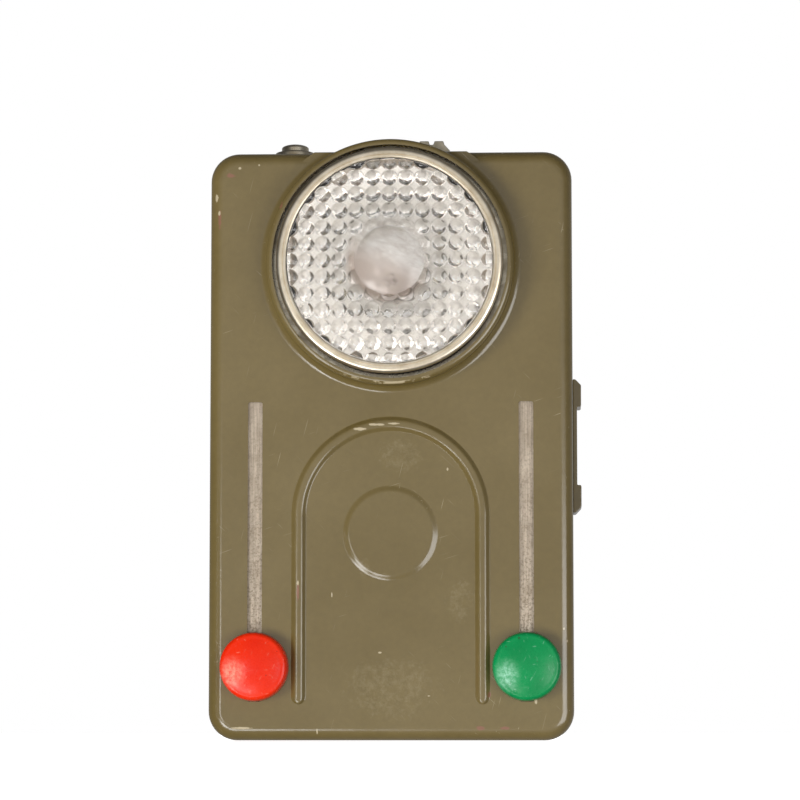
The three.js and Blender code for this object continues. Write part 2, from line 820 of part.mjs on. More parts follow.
const lensGasket = () => ringY([lensRadius - gasketWall, lensRadius],
  [gasketFrontY, gasketFrontY + gasketThick], 0, lensZ, middleFacets);

function lensSeat() {
  const outer = collarRadius - sheet - gap;
  const inner = neckRadius - neckWall;
  return turnedY([
    [inner, seatFrontY],
    [neckRadius, seatFrontY],
    [neckRadius, seatBackY - seatFlange],
    [outer, seatBackY - seatFlange],
    [outer, seatBackY],
    [inner, seatBackY],
    [inner, seatFrontY],
  ], 0, lensZ, middleFacets);
}

// Reflector: a paraboloid of sheet with a flat flange behind the chassis window.
function reflector() {
  const steps = 4;
  const depthAt = (r) => mirrorVertexY - r ** 2 / (4 * reflectorFocus);
  const radii = Array.from({ length: steps + 1 }, (_, i) =>
    windowRadius + ((reflectorHole - windowRadius) * i) / steps);
  return turnedY([
    [mirrorRim, mirrorY],
    ...radii.map((r) => [r, depthAt(r)]),
    ...radii.reverse().map((r) => [r, depthAt(r) + reflectorSheet
      * Math.hypot(1, r / (2 * reflectorFocus))]),
    [windowRadius + reflectorSheet, mirrorY + reflectorSheet],
    [mirrorRim, mirrorY + reflectorSheet],
    [mirrorRim, mirrorY],
  ], 0, lensZ, middleFacets);
}

function bulbGlass() {
  const quarter = (radius, width) => Math.asin(width / radius) / (Math.PI / 2);
  const [neck, bore, core] = [bulbNeck, bulbNeck - bulbWall, bulbRadius - bulbWall];
  const flip = ([y, r]) => [Math.max(r, 0), y];
  return turnedY([
    ...arc(focusY, 0, bulbRadius, 2, quarter(bulbRadius, neck), 4).map(flip),
    [neck, bulbNeckY],
    [bore, bulbNeckY],
    ...arc(focusY, 0, core, quarter(core, bore), 2, 4).map(flip),
  ], 0, lensZ, smallFacets);
}

function bulbBase() {
  const bore = bulbNeck + gap;
  const turns = 3;
  const ridge = capWall / 2;
  const pitch = (capLength - 2 * capWall) / (2 * turns);
  const thread = Array.from({ length: 2 * turns + 1 }, (_, i) =>
    [capRadius - (i % 2) * ridge, capY + capWall + i * pitch]);
  return turnedY([
    [bore, capY],
    [capRadius, capY],
    ...thread,
    [tipRadius + ridge, capBackY],
    [tipRadius, tipY],
    [0, tipY],
    [0, capBackY - capWall],
    [bore, bulbNeckY + gap],
    [bore, capY],
  ], 0, lensZ, smallFacets);
}

function bulbSocket() {
  const bore = capRadius + gap;
  const outer = bore + socketWall;
  return turnedY([
    [bore, socketFrontY],
    [socketFlangeRadius, socketFrontY],
    [socketFlangeRadius, socketFrontY + socketFlange],
    [outer, socketFrontY + socketFlange],
    [outer, socketFrontY + socketLength],
    [bore, socketFrontY + socketLength],
    [bore, socketFrontY],
  ], 0, lensZ, smallFacets);
}

// Chassis plate with its window, the rails beside the strips, and tabs that hold the rest.
function chassisPlate() {
  const inset = sheet + gap;
  const base = plate(roundRect(halfWidths(inset), heights(inset), cornerRadius - inset),
    [chassisY, chassisBackY]);
  const sides = [-1, 1];
  const span = (side, from, to) => [side * from, side * to].sort((a, b) => a - b);
  const railX = stripOuter + gap;
  const rails = sides.map((side) => block(span(side, railX, railX + railSheet),
    [sheetBackY + gap, chassisBackY], [railFoot, caseHeight - cornerRadius - railFoot]));
  const flangeX = innerHalf - gap;
  const flanges = sides.map((side) => block(span(side, flangeX - chassisSheet, flangeX),
    [chassisY, chassisBackY + flangeDepth], [midZ - flangeHeight / 2, midZ + flangeHeight / 2]));
  const stopX = batteryWidth / 2 + gap;
  const batteryMidZ = (batteryFootZ + batteryTopZ) / 2;
  const stops = sides.flatMap((side) => sides.map((level) => {
    const z = batteryMidZ + (level * stopSpacing) / 2;
    return block(span(side, stopX, stopX + chassisSheet), [chassisY, chassisBackY + stopDepth],
      [z - stopHeight / 2, z + stopHeight / 2]);
  }));
  const shelfTop = boardHeight - gap;
  const shelves = sides.map((side) => block(
    span(side, shelfSpread - shelfWidth / 2, shelfSpread + shelfWidth / 2),
    [chassisY, chassisBackY + shelfDepth], [shelfTop - chassisSheet, shelfTop]));
  const window = discY(windowRadius, [chassisY - overrun, chassisBackY + overrun], 0, lensZ,
    middleFacets);
  const holes = sides.map((side) => discZ(boardRivetRadius + gap,
    [shelfTop - chassisSheet - overrun, shelfTop + overrun], side * shelfSpread, shelfRivetY(),
    tinyFacets));
  return cut(join(base, ...rails, ...flanges, ...stops, ...shelves), window, ...holes);
}

const shelfRivetY = () => chassisBackY + shelfDepth / 2;

// Filter slides

function knobProfile() {
  const back = faceY - gap;
  const front = back - knobThick;
  const rimRadius = knobRadius - knobDraft - knobRound;
  const crownSteps = 3;
  const crown = Array.from({ length: crownSteps }, (_, i) => {
    const share = i / crownSteps;
    return [rimRadius * share, front + knobCrown * share ** 2];
  });
  return [
    ...crown,
    ...arc(rimRadius, front + knobCrown + knobRound, knobRound, -1, 0, 2),
    [knobRadius, back],
    [0, back],
  ];
}

// Round knob with the key that keeps it upright in its slot, and the rivet's bore.
function filterKnob(side) {
  const x = side * slotSpread;
  const half = slotWidth / 2 - gap;
  const button = turnedY(knobProfile(), x, knobRest, middleFacets);
  const key = plate(roundRect([x - half, x + half], [knobRest - keyHeight / 2,
    knobRest + keyHeight / 2], half / 2), [faceY - gap - knobThick / 4, redPlateY - gap], bendFacets);
  const bore = discY(rivetRadius + runGap,
    [redPlateY - gap - rivetReach - gap, redPlateY + overrun], x, knobRest, tinyFacets);
  return cut(join(button, key), bore);
}

function filterRivet(side) {
  const headY = redPlateY + slideSheet + runGap;
  return turnedY([
    [0, redPlateY - gap - rivetReach],
    [rivetRadius, redPlateY - gap - rivetReach],
    [rivetRadius, headY],
    [rivetHeadRadius, headY],
    [rivetHeadRadius - rivetHead, headY + rivetHead],
    [0, headY + rivetHead],
  ], side * slotSpread, knobRest, tinyFacets);
}

function filterHoles(side, plateY) {
  return [
    discY(apertureRadius, [plateY - overrun, plateY + slideSheet + overrun], 0, filterRestZ,
      middleFacets),
    discY(rivetRadius + runGap, [redPlateY - overrun, redPlateY + slideSheet + overrun],
      side * slotSpread, knobRest, tinyFacets),
  ];
}

// Red slide: one flat stamping, strip and frame together.
function redPlate() {
  const strip = block([-stripOuter, -stripInner], [redPlateY, redPlateY + slideSheet],
    [slotFoot - stripFoot, frameTopZ]);
  const frame = block([-stripInner - overrun, frameHalf], [redPlateY, redPlateY + slideSheet],
    [frameFootZ, frameTopZ]);
  return cut(join(strip, frame), ...filterHoles(-1, redPlateY));
}

// Green slide: its frame runs behind the red one, so the strip is stepped forward to the slot.
function greenPlate() {
  const stepX = frameHalf + joggleGap;
  const strip = block([stepX, stripOuter], [redPlateY, redPlateY + slideSheet],
    [frameFootZ, frameTopZ]);
  const tail = block([stripInner, stripOuter], [redPlateY, redPlateY + slideSheet],
    [slotFoot - stripFoot, frameFootZ + overrun]);
  const step = block([stepX, stepX + joggle], [redPlateY, greenPlateY + slideSheet],
    [frameFootZ, frameTopZ]);
  const frame = block([-frameHalf, stepX + joggle], [greenPlateY, greenPlateY + slideSheet],
    [frameFootZ, frameTopZ]);
  return cut(join(strip, tail, step, frame), ...filterHoles(1, greenPlateY));
}

const filterFilm = (filmY) => block([-filmHalf, filmHalf], [filmY, filmY + filmThick],
  [filterRestZ - filmHalf, filterRestZ + filmHalf]);

// Morse button

function buttonPlunger() {
  const top = caseHeight + buttonTop;
  const foot = top - buttonBody;
  const stemFoot = leafZ + contactSheet / 2 + gap + buttonStroke;
  return turnedZ([
    [0, stemFoot],
    [stemRadius, stemFoot],
    [stemRadius, foot],
    [buttonRadius, foot],
    ...arc(0, 0, 1, 0, 1, 4).map(([a, b]) => [Math.max(buttonRadius * a, 0),
      top - buttonCrown * (1 - b)]),
    [0, top],
  ], -buttonSpread, buttonY);
}

function buttonBush() {
  const lipBore = stemRadius + gap;
  const lipTop = caseHeight - bushDepth + bushLip;
  return turnedZ([
    [lipBore, caseHeight - bushDepth],
    [bushRadius, caseHeight - bushDepth],
    [bushRadius, innerTop - gap - bushFlange],
    [bushNutRadius, innerTop - gap - bushFlange],
    [bushNutRadius, innerTop - gap],
    [bushRadius, innerTop - gap],
    [bushRadius, caseHeight + bushTop],
    [bushBore, caseHeight + bushTop],
    [bushBore, lipTop],
    [lipBore, lipTop],
    [lipBore, caseHeight - bushDepth],
  ], -buttonSpread, buttonY);
}

// Round nut with two notches for a pin spanner.
function buttonNut() {
  const z0 = caseHeight + gap;
  const body = discZ(bushNutRadius, [z0, z0 + bushNut], -buttonSpread, buttonY);
  const hole = discZ(bushRadius + runGap, [z0 - overrun, z0 + bushNut + overrun],
    -buttonSpread, buttonY);
  const notch = block([-buttonSpread - bushNutRadius - overrun, -buttonSpread + bushNutRadius + overrun],
    [buttonY - nutNotch / 2, buttonY + nutNotch / 2],
    [z0 + bushNut - nutNotchDepth, z0 + bushNut + overrun]);
  return cut(body, hole, notch);
}

function buttonWasher() {
  const top = caseHeight - bushDepth - gap;
  const bore = stemRadius + runGap;
  return turnedZ([
    [bore, top - washerThick],
    [washerRadius, top - washerThick],
    [washerRadius, top],
    [bore, top],
    [bore, top - washerThick],
  ], -buttonSpread, buttonY);
}

// Return spring: one unbroken tube between the bush's lip and the plunger's foot.
function buttonSpring() {
  const z0 = caseHeight - bushDepth + bushLip + gap / 2 + springWire;
  const z1 = caseHeight + buttonTop - buttonBody - gap / 2 - springWire;
  const coil = (stemRadius + bushBore) / 2;
  const count = Math.round(springTurns * coilSteps);
  const centre = (i) => {
    const angle = (2 * Math.PI * i) / coilSteps;
    const z = z0 + ((z1 - z0) * i) / count;
    return new THREE.Vector3(coil * Math.cos(angle), coil * Math.sin(angle), z);
  };
  const rings = Array.from({ length: count + 1 }, (_, i) => {
    const middle = centre(i);
    const out = new THREE.Vector3(middle.x, middle.y, 0).normalize();
    const up = new THREE.Vector3(0, 0, 1);
    return Array.from({ length: coilSides }, (_, k) => {
      const angle = (2 * Math.PI * k) / coilSides;
      return middle.clone().addScaledVector(out, springWire * Math.cos(angle))
        .addScaledVector(up, springWire * Math.sin(angle))
        .add(new THREE.Vector3(-buttonSpread, buttonY, 0));
    });
  });
  const turnGap = centre(coilSteps).distanceTo(centre(0)) - 2 * springWire;
  console.log(`button spring, least gap between turns: ${turnGap.toFixed(2)} mm`);
  return loft(rings);
}

// Switch

function switchKnob() {
  const [x0, x1] = [switchEnd - switchLength, switchEnd];
  const z0 = caseHeight + gap;
  const top = caseHeight + switchRise;
  const plinth = z0 + switchPlinth;
  const foot = top - ridgeDepth;
  const pitch = (switchLength - 2 * switchInset + ridgeValley) / switchRidges;
  const teeth = Array.from({ length: switchRidges }, (_, i) => {
    const right = x1 - switchInset - i * pitch;
    const left = right - pitch + ridgeValley;
    return [[right, foot], [right - ridgeSlope, top], [left + ridgeSlope, top], [left, foot]];
  }).flat();
  const outline = polygon([[x0, z0], [x1, z0], [x1, plinth], ...teeth, [x0, plinth]]);
  const body = plate(outline, [buttonY - switchWidth / 2, buttonY + switchWidth / 2]);
  const neck = block([switchX - neckLength / 2, switchX + neckLength / 2],
    [buttonY - neckWidth / 2, buttonY + neckWidth / 2],
    [switchPlateTopZ - switchSheet - neckHead, z0 + switchPlinth / 2]);
  return join(body, neck);
}

function switchPlate() {
  const [x0, x1] = [switchX - switchPlateLeft, switchX + switchPlateRight];
  const depth = [buttonY - switchPlateWidth / 2, buttonY + switchPlateWidth / 2];
  const foot = switchPlateTopZ - switchSheet;
  const body = block([x0, x1], depth, [foot, switchPlateTopZ]);
  const nose = block([x0 + gap, x0 + gap + noseWidth], [buttonY, depth[1]],
    [leafZ + contactSheet / 2 + gap, switchPlateTopZ - switchSheet / 2]);
  const hole = block([switchX - neckLength / 2 - runGap, switchX + neckLength / 2 + runGap],
    [buttonY - neckWidth / 2 - runGap, buttonY + neckWidth / 2 + runGap],
    [foot - overrun, switchPlateTopZ + overrun]);
  return cut(join(body, nose), hole);
}

// Battery

function batteryCase() {
  const half = batteryWidth / 2;
  const body = post(roundRect([-half, half], [batteryY, batteryBackY], batteryCorner),
    [batteryFootZ, batteryTopZ]);
  const well = post(roundRect([-half + batteryRim, half - batteryRim],
    [batteryY + batteryRim, batteryBackY - batteryRim], batteryCorner - batteryRim),
  [batteryTopZ - batterySink, batteryTopZ + overrun]);
  return cut(body, well);
}

// A brass tongue that rises from the battery's well and leans back to its contact.
function batteryTongue(side, contactY) {
  const y = (batteryY + batteryBackY) / 2;
  const z = batteryTopZ - batterySink + gap;
  const end = contactY - gap - tongueSheet / 2;
  const outline = ribbon([[y, z], [y, z + tongueRise], [end, z + tongueTop - tongueSheet],
    [end, z + tongueTop + tongueSheet]], tongueSheet);
  const x = side * tongueSpread;
  return bar(outline, [x - tongueWidth / 2, x + tongueWidth / 2]);
}

// Terminal board and contacts

function terminalBoard() {
  const half = boardWidth / 2;
  const step = boardStepWidth / 2;
  const front = chassisBackY + gap;
  const outline = polygon([[-half, front], [half, front], [half, boardSideY], [step, boardSideY],
    [step, boardSideY + boardStep], [-step, boardSideY + boardStep], [-step, boardSideY],
    [-half, boardSideY]]);
  const holes = [
    ...[-1, 1].map((side) => [side * shelfSpread, shelfRivetY()]),
    [0, plusRivetY()],
    [minusRivetX(), minusRivetY()],
  ].map(([x, y]) => discZ(boardRivetRadius + gap, [boardHeight - overrun, boardTopZ + overrun],
    x, y, tinyFacets));
  return cut(post(outline, [boardHeight, boardTopZ]), ...holes);
}

const plusRivetY = () => plusY - contactFoot / 2;
const minusRivetX = () => tongueSpread + contactWidth;
const minusRivetY = () => minusY - contactFoot / 2;

// A rivet through the board, its lower head under what it holds.
function boardRivet(x, y, z0, z1) {
  return turnedZ([
    [0, z0 - boardRivetHead],
    [boardRivetHeadRadius, z0 - boardRivetHead],
    [boardRivetHeadRadius, z0],
    [boardRivetRadius, z0],
    [boardRivetRadius, z1],
    [boardRivetHeadRadius, z1],
    [boardRivetHeadRadius / 2, z1 + boardRivetHead],
    [0, z1 + boardRivetHead],
  ], x, y, tinyFacets);
}

function shelfRivet(side) {
  return boardRivet(side * shelfSpread, shelfRivetY(),
    boardHeight - 2 * gap - chassisSheet, boardTopZ + gap);
}

const contactRivet = (x, y) => boardRivet(x, y, boardHeight - gap,
  boardTopZ + 2 * gap + contactSheet);

// Plus contact: riveted foot, an arm up behind the bulb and a bar down to the short tongue.
function plusContact() {
  const footZ = boardTopZ + gap + contactSheet / 2;
  const y = plusY + contactSheet / 2;
  const arm = bar(ribbon([[plusY - contactFoot, footZ], [y, footZ], [y, lensZ + tipRadius]],
    contactSheet), [-contactWidth / 2, contactWidth / 2]);
  const leg = block([-contactWidth / 2, contactWidth / 2], [plusY, plusY + contactSheet],
    [batteryTopZ + gap, footZ]);
  const side = block([-tongueSpread - tongueWidth / 2, 0], [plusY, plusY + contactSheet],
    [batteryTopZ + gap, batteryTopZ + gap + tongueTop]);
  const hole = discZ(boardRivetRadius + gap, [footZ - overrun, footZ + overrun], 0, plusRivetY(),
    tinyFacets);
  return cut(join(arm, leg, side), hole);
}

// Minus contact: a bar behind the board with a leaf under the button and one for the switch.
function minusContact() {
  const y = minusY + contactSheet / 2;
  const arm = ([x0, x1]) => bar(ribbon([[y, barZ], [y, leafZ], [y - leafLength, leafZ]],
    contactSheet), [x0, x1]);
  const morse = [-buttonSpread - leafWidth / 2, -buttonSpread + leafWidth / 2];
  const noseX = switchX - switchPlateLeft + gap + noseWidth / 2 - switchTravel;
  const lamp = [noseX - leafWidth / 2, noseX + leafWidth / 2];
  const [legLeft, legRight] = [tongueSpread - tongueWidth / 2, minusRivetX() + contactWidth / 2];
  const depth = [minusY, minusY + contactSheet];
  const cross = block([morse[0], legRight], depth, [barZ, barZ + barHeight]);
  const leg = block([legLeft, legLeft + contactWidth], depth,
    [batteryTopZ + gap, barZ + barHeight]);
  const footZ = boardTopZ + gap + contactSheet / 2;
  const foot = bar(ribbon([[minusY - contactFoot, footZ], [y, footZ], [y, barZ + barHeight / 2]],
    contactSheet), [legLeft + contactWidth / 2, legRight]);
  const hole = discZ(boardRivetRadius + gap, [footZ - overrun, footZ + overrun], minusRivetX(),
    minusRivetY(), tinyFacets);
  return cut(join(arm(morse), arm(lamp), cross, leg, foot), hole);
}

// Rear cover's fittings

function beltClip() {
  const y = rearY + gap + clipSheet / 2;
  const out = y + clipStand;
  const padFoot = clipTopZ - clipPad;
  const outline = ribbon([
    [y, clipTopZ],
    [y, padFoot],
    [out, padFoot - clipStand],
    [out, padFoot - clipReach / 2],
    [y + gap, padFoot - clipReach],
    [y + clipTipOut, padFoot - clipReach - clipTip],
  ], clipSheet);
  const holes = clipRivetHeights().map((z) =>
    discY(clipRivetRadius + gap, [rearY, rearY + clipStand], 0, z, tinyFacets));
  return cut(bar(outline, [-clipWidth / 2, clipWidth / 2]), ...holes);
}

function clipRivet(z) {
  const front = rearY - sheet - gap;
  const back = rearY + 2 * gap + clipSheet;
  return turnedY([
    [0, front - clipRivetHead / 2],
    [clipRivetHeadRadius, front - clipRivetHead / 2],
    [clipRivetHeadRadius, front],
    [clipRivetRadius, front],
    [clipRivetRadius, back],
    [clipRivetHeadRadius, back],
    [clipRivetHeadRadius - clipRivetHead, back + clipRivetHead],
    [0, back + clipRivetHead],
  ], 0, z, tinyFacets);
}

// A bowed leaf that presses on the battery's back when the cover is shut.
function batterySpring() {
  const steps = 8;
  const y = rearY - sheet - gap - springSheet / 2;
  const line = Array.from({ length: steps + 1 }, (_, i) => {
    const share = i / steps;
    return [y - springBow * Math.sin(Math.PI * share), springFoot + springLength * share];
  });
  return bar(ribbon(line, springSheet), [-springWidth / 2, springWidth / 2]);
}

// Materials

const paint = () => ({ color: 0x7f724f, roughness: 0.42, metalness: 0.2 });
const nickel = () => ({ color: 0xc9c4b6, roughness: 0.25, metalness: 1 });
const steel = () => ({ color: 0x9c9a94, roughness: 0.4, metalness: 1 });
const zinc = () => ({ color: 0x8f8a80, roughness: 0.5, metalness: 0.9 });
const brass = () => ({ color: 0xb99a55, roughness: 0.35, metalness: 1 });
const clear = (color, opacity) => ({ color, roughness: 0.1, metalness: 0, opacity, transparent: true });
const glass = () => clear(0xf2f2ee, 0.35);
const gloss = (color) => ({ color, roughness: 0.3, metalness: 0 });

const model = new THREE.Group();

function piece(name, body, material) {
  const { vertProperties, triVerts } = body.getMesh();
  const geometry = new THREE.BufferGeometry();
  geometry.setAttribute("position", new THREE.BufferAttribute(new Float32Array(vertProperties), 3));
  geometry.setIndex(new THREE.BufferAttribute(new Uint32Array(triVerts), 1));
  geometry.computeVertexNormals();
  const mesh = new THREE.Mesh(geometry, new THREE.MeshStandardMaterial(material));
  mesh.name = name;
  model.add(mesh);
}

piece("front_housing", frontHousing(), paint());
piece("rear_cover", rearCover(), paint());
piece("hinge_leaf_fixed", hingeLeaf(0, [hingeY - fixedLeafDepth, hingeY]), steel());
piece("hinge_leaf_moving", hingeLeaf(1, [hingeY, rearY - bendRadius]), steel());
piece("hinge_pin", hingePin(), steel());
piece("catch_slide", catchSlide(), paint());
piece("catch_plate", catchPlate(), steel());
piece("lens_ring", lensRing(), nickel());
piece("lens", lens(), glass());
piece("lens_gasket", lensGasket(), { color: 0x1c1a18, roughness: 0.8, metalness: 0 });
piece("lens_seat", lensSeat(), nickel());
piece("reflector", reflector(), { color: 0xe4e2dc, roughness: 0.12, metalness: 1 });
piece("bulb_glass", bulbGlass(), glass());
piece("bulb_base", bulbBase(), brass());
piece("bulb_socket", bulbSocket(), brass());
piece("chassis_plate", chassisPlate(), steel());
piece("red_knob", filterKnob(-1), gloss(0xe8331f));
piece("red_rivet", filterRivet(-1), steel());
piece("red_plate", redPlate(), zinc());
piece("red_film", filterFilm(redFilmY), clear(0xc0180f, 0.6));
piece("green_knob", filterKnob(1), gloss(0x149455));
piece("green_rivet", filterRivet(1), steel());
piece("green_plate", greenPlate(), zinc());
piece("green_film", filterFilm(greenFilmY), clear(0x0f7a3c, 0.6));
piece("button_plunger", buttonPlunger(), nickel());
piece("button_bush", buttonBush(), nickel());
piece("button_nut", buttonNut(), nickel());
piece("button_washer", buttonWasher(), steel());
piece("button_spring", buttonSpring(), steel());
piece("switch_knob", switchKnob(), nickel());
piece("switch_plate", switchPlate(), steel());
piece("battery_case", batteryCase(), { color: 0x2f4a86, roughness: 0.6, metalness: 0 });
piece("battery_tongue_short", batteryTongue(-1, plusY), brass());
piece("battery_tongue_long", batteryTongue(1, minusY), brass());
piece("terminal_board", terminalBoard(), { color: 0x6b3f24, roughness: 0.6, metalness: 0 });
piece("plus_contact", plusContact(), brass());
piece("minus_contact", minusContact(), brass());
piece("board_rivet_left", shelfRivet(-1), steel());
piece("board_rivet_right", shelfRivet(1), steel());
piece("contact_rivet_plus", contactRivet(0, plusRivetY()), brass());
piece("contact_rivet_minus", contactRivet(minusRivetX(), minusRivetY()), brass());
piece("belt_clip", beltClip(), steel());
piece("clip_rivet_lower", clipRivet(clipRivetHeights()[0]), steel());
piece("clip_rivet_upper", clipRivet(clipRivetHeights()[1]), steel());
piece("battery_spring", batterySpring(), steel());

export default model;
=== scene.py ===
import json
import math

import bpy
import bmesh
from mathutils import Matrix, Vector


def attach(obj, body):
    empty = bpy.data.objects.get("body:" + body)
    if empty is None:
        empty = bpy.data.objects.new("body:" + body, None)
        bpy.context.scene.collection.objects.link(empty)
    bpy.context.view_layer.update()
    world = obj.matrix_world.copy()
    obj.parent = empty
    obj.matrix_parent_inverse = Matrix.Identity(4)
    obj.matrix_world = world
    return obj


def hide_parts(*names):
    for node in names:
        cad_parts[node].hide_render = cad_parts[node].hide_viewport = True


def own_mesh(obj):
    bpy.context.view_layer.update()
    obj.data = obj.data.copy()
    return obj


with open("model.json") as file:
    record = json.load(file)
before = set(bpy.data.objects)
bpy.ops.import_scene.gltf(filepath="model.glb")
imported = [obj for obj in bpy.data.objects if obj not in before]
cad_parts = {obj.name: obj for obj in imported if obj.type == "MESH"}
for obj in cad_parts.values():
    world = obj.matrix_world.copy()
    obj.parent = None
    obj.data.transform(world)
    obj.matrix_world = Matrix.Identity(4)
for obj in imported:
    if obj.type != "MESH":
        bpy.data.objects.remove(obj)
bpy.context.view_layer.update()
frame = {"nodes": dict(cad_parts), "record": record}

# Signal flashlight in a pressed-steel case. Sizes in millimetres, in the same frame as the solids:
# +Z is up, the lens faces -Y, and the origin is the centre of the case's flat bottom.
MM = 0.001
GAP = 0.3  # between neighbouring pieces
OVERRUN = 1.0  # how far a cutting tool runs past its work

# Case
CASE_WIDTH, CASE_DEPTH, CASE_HEIGHT = 78.0, 30.0, 126.5
SHEET = 0.7
CORNER_RADIUS = 6.2
BEND_RADIUS = 3.0
COVER_DEPTH = 5.2
SEAM = 0.3
LIP_DEPTH, LIP_SHEET, LIP_LANDING = 2.8, 0.6, 1.3
FACE_Y, REAR_Y = -CASE_DEPTH / 2, CASE_DEPTH / 2
SEAM_Y = REAR_Y - COVER_DEPTH
INNER_HALF = CASE_WIDTH / 2 - SHEET
INNER_TOP = CASE_HEIGHT - SHEET
MID_Z = CASE_HEIGHT / 2

# Collar, bead and boss pressed in the face
LENS_Z = 102.0
MOUTH_RADIUS = 25.2
COLLAR_RADIUS = 26.5
COLLAR_RISE = 4.6
COLLAR_ROUND = 1.1
COLLAR_FOOT = 1.9
BULGE_REACH, BULGE_ROUND = 6.5, 3.5
ARCH_RADIUS, ARCH_DROP = 19.6, 27.7
ARCH_WIDTH, ARCH_RISE = 3.3, 0.8
ARCH_FOOT_Z = 7.6
BOSS_RADIUS, BOSS_HEIGHT, BOSS_RISE, BOSS_SLOPE = 9.6, 44.0, 0.45, 0.9

# Filter slots and knobs
SLOT_SPREAD, SLOT_WIDTH, SLOT_LENGTH, SLOT_FOOT = 29.0, 3.1, 64.0, 8.2
SLOT_CORNER = 0.5
KNOB_RADIUS, KNOB_THICK, KNOB_CROWN, KNOB_ROUND = 7.45, 4.2, 0.9, 1.1
KNOB_DRAFT = 0.25
KEY_HEIGHT = 14.2
KNOB_REST = SLOT_FOOT + GAP + KEY_HEIGHT / 2
RIVET_RADIUS = 0.7

# Lens, ring and reflector
RING_RADIUS, RING_SIGHT, RING_PROUD = 24.3, 22.1, 6.2
RING_LIP, RING_WALL, RING_SKIRT = 0.6, 0.8, 4.8
RING_FRONT_Y = FACE_Y - RING_PROUD
KNURL_COUNT, KNURL_DEPTH = 120, 0.25
LENS_RADIUS = RING_RADIUS - RING_WALL - 2 * GAP
LENS_FRONT_Y = RING_FRONT_Y + RING_LIP + GAP
LENS_BACK_Y = LENS_FRONT_Y + 1.4
LENS_CROWN = 1.3
LENSLET_PITCH, LENSLET_BASE, LENSLET_RISE = 3.55, 1.66, 0.8
BULLSEYE_RADIUS, BULLSEYE_RISE = 7.4, 1.5
WINDOW_RADIUS = RING_SIGHT - 0.2
MIRROR_Y = -10.6
MIRROR_DEPTH, MIRROR_SHEET, MIRROR_FLANGE, MIRROR_HOLE = 15.0, 0.5, 1.5, 5.9
BULB_RADIUS, BULB_WALL, BULB_NECK, BULB_NECK_LENGTH = 5.5, 0.5, 3.9, 3.0

# Button and switch
BUTTON_X, BUTTON_Y = -21.4, FACE_Y + 11.0
BUTTON_RADIUS, BUTTON_TOP, BUTTON_BODY, BUTTON_CROWN = 2.95, 3.4, 3.2, 0.9
BUTTON_STROKE, STEM_RADIUS = 1.5, 1.2
LEAF_DROP, LEAF_HALF = 7.3, 0.2  # contact leaf under the plunger: below the case's top, half its sheet
BUSH_WALL, BUSH_TOP, BUSH_PLAY, NUT_RADIUS, NUT_THICK = 0.4, 1.75, 0.2, 4.3, 1.2
SPRING_WIRE, SPRING_TURNS, SPRING_COIL, SPRING_FOOT = 0.18, 2.5, 2.175, CASE_HEIGHT - 2.35
SWITCH_LENGTH, SWITCH_WIDTH, SWITCH_RISE, SWITCH_END = 14.4, 7.4, 3.4, 12.6
SWITCH_PLINTH, SWITCH_RIDGES, SWITCH_INSET = 1.0, 4, 1.2
RIDGE_DEPTH, RIDGE_VALLEY, RIDGE_SLOPE = 0.8, 0.8, 0.25
NECK_LENGTH, NECK_WIDTH, SWITCH_TRAVEL = 8.0, 2.8, 7.0

# Side catch, hinge and belt clip
CATCH_LENGTH, CATCH_WIDTH, CATCH_BACK = 29.1, 9.0, 14.0
CATCH_Z = MID_Z + 0.5
CATCH_STRIP, CATCH_LUG_RISE, CATCH_LUG, CATCH_SLOPE = 0.7, 0.9, 6.0, 1.3
CATCH_STUD, CATCH_STUD_SPREAD, CATCH_TRAVEL = 1.2, 8.0, 5.0
BARREL_RADIUS, HINGE_PIN = 1.4, 0.7
HINGE_X, HINGE_Y = -CASE_WIDTH / 2 + 0.1, SEAM_Y + SEAM / 2
HINGE_END, KNUCKLES, HINGE_RELIEF = 7.5, 5, 2.0
CLIP_WIDTH, CLIP_SHEET, CLIP_TOP, CLIP_PAD = 18.0, 0.8, 108.5, 18.0
CLIP_REACH, CLIP_STAND, CLIP_TIP, CLIP_TIP_OUT = 46.0, 3.4, 6.0, 2.0
CLIP_RIVETS, CLIP_HOLE, SHANK_RADIUS, HEAD_RADIUS = (95.0, 104.0), 1.6, 1.3, 2.4

# Fineness of the meshes
ROUND, MIDDLE, SMALL = 160, 72, 32
CORNER_STEPS, BEND_STEPS = 12, 8


# Meshes

def place(name, data):
    """A new object in the scene."""
    piece = bpy.data.objects.new(name, data)
    bpy.context.scene.collection.objects.link(piece)
    return piece


def new_mesh(name, points, faces):
    mesh = bpy.data.meshes.new(name)
    mesh.from_pydata([tuple(c * MM for c in p) for p in points], [], faces)
    shape = bmesh.new()
    shape.from_mesh(mesh)
    bmesh.ops.remove_doubles(shape, verts=shape.verts, dist=1e-7)
    bmesh.ops.recalc_face_normals(shape, faces=shape.faces)
    shape.to_mesh(mesh)
    shape.free()
    return place(name, mesh)


def loft(name, rings, loop=False):
    """Closed rings of equal count joined in order, capped at both ends unless they close on themselves."""
    count = len(rings[0])
    points = [p for ring in rings for p in ring]
    faces = []
    spans = len(rings) if loop else len(rings) - 1
    for i in range(spans):
        low, high = i * count, (i + 1) % len(rings) * count
        for k in range(count):
            n = (k + 1) % count
            faces.append((low + k, low + n, high + n, high + k))
    if not loop:
        faces.append(tuple(range(count)))
        faces.append(tuple(reversed(range((len(rings) - 1) * count, len(rings) * count))))
    return new_mesh(name, points, faces)


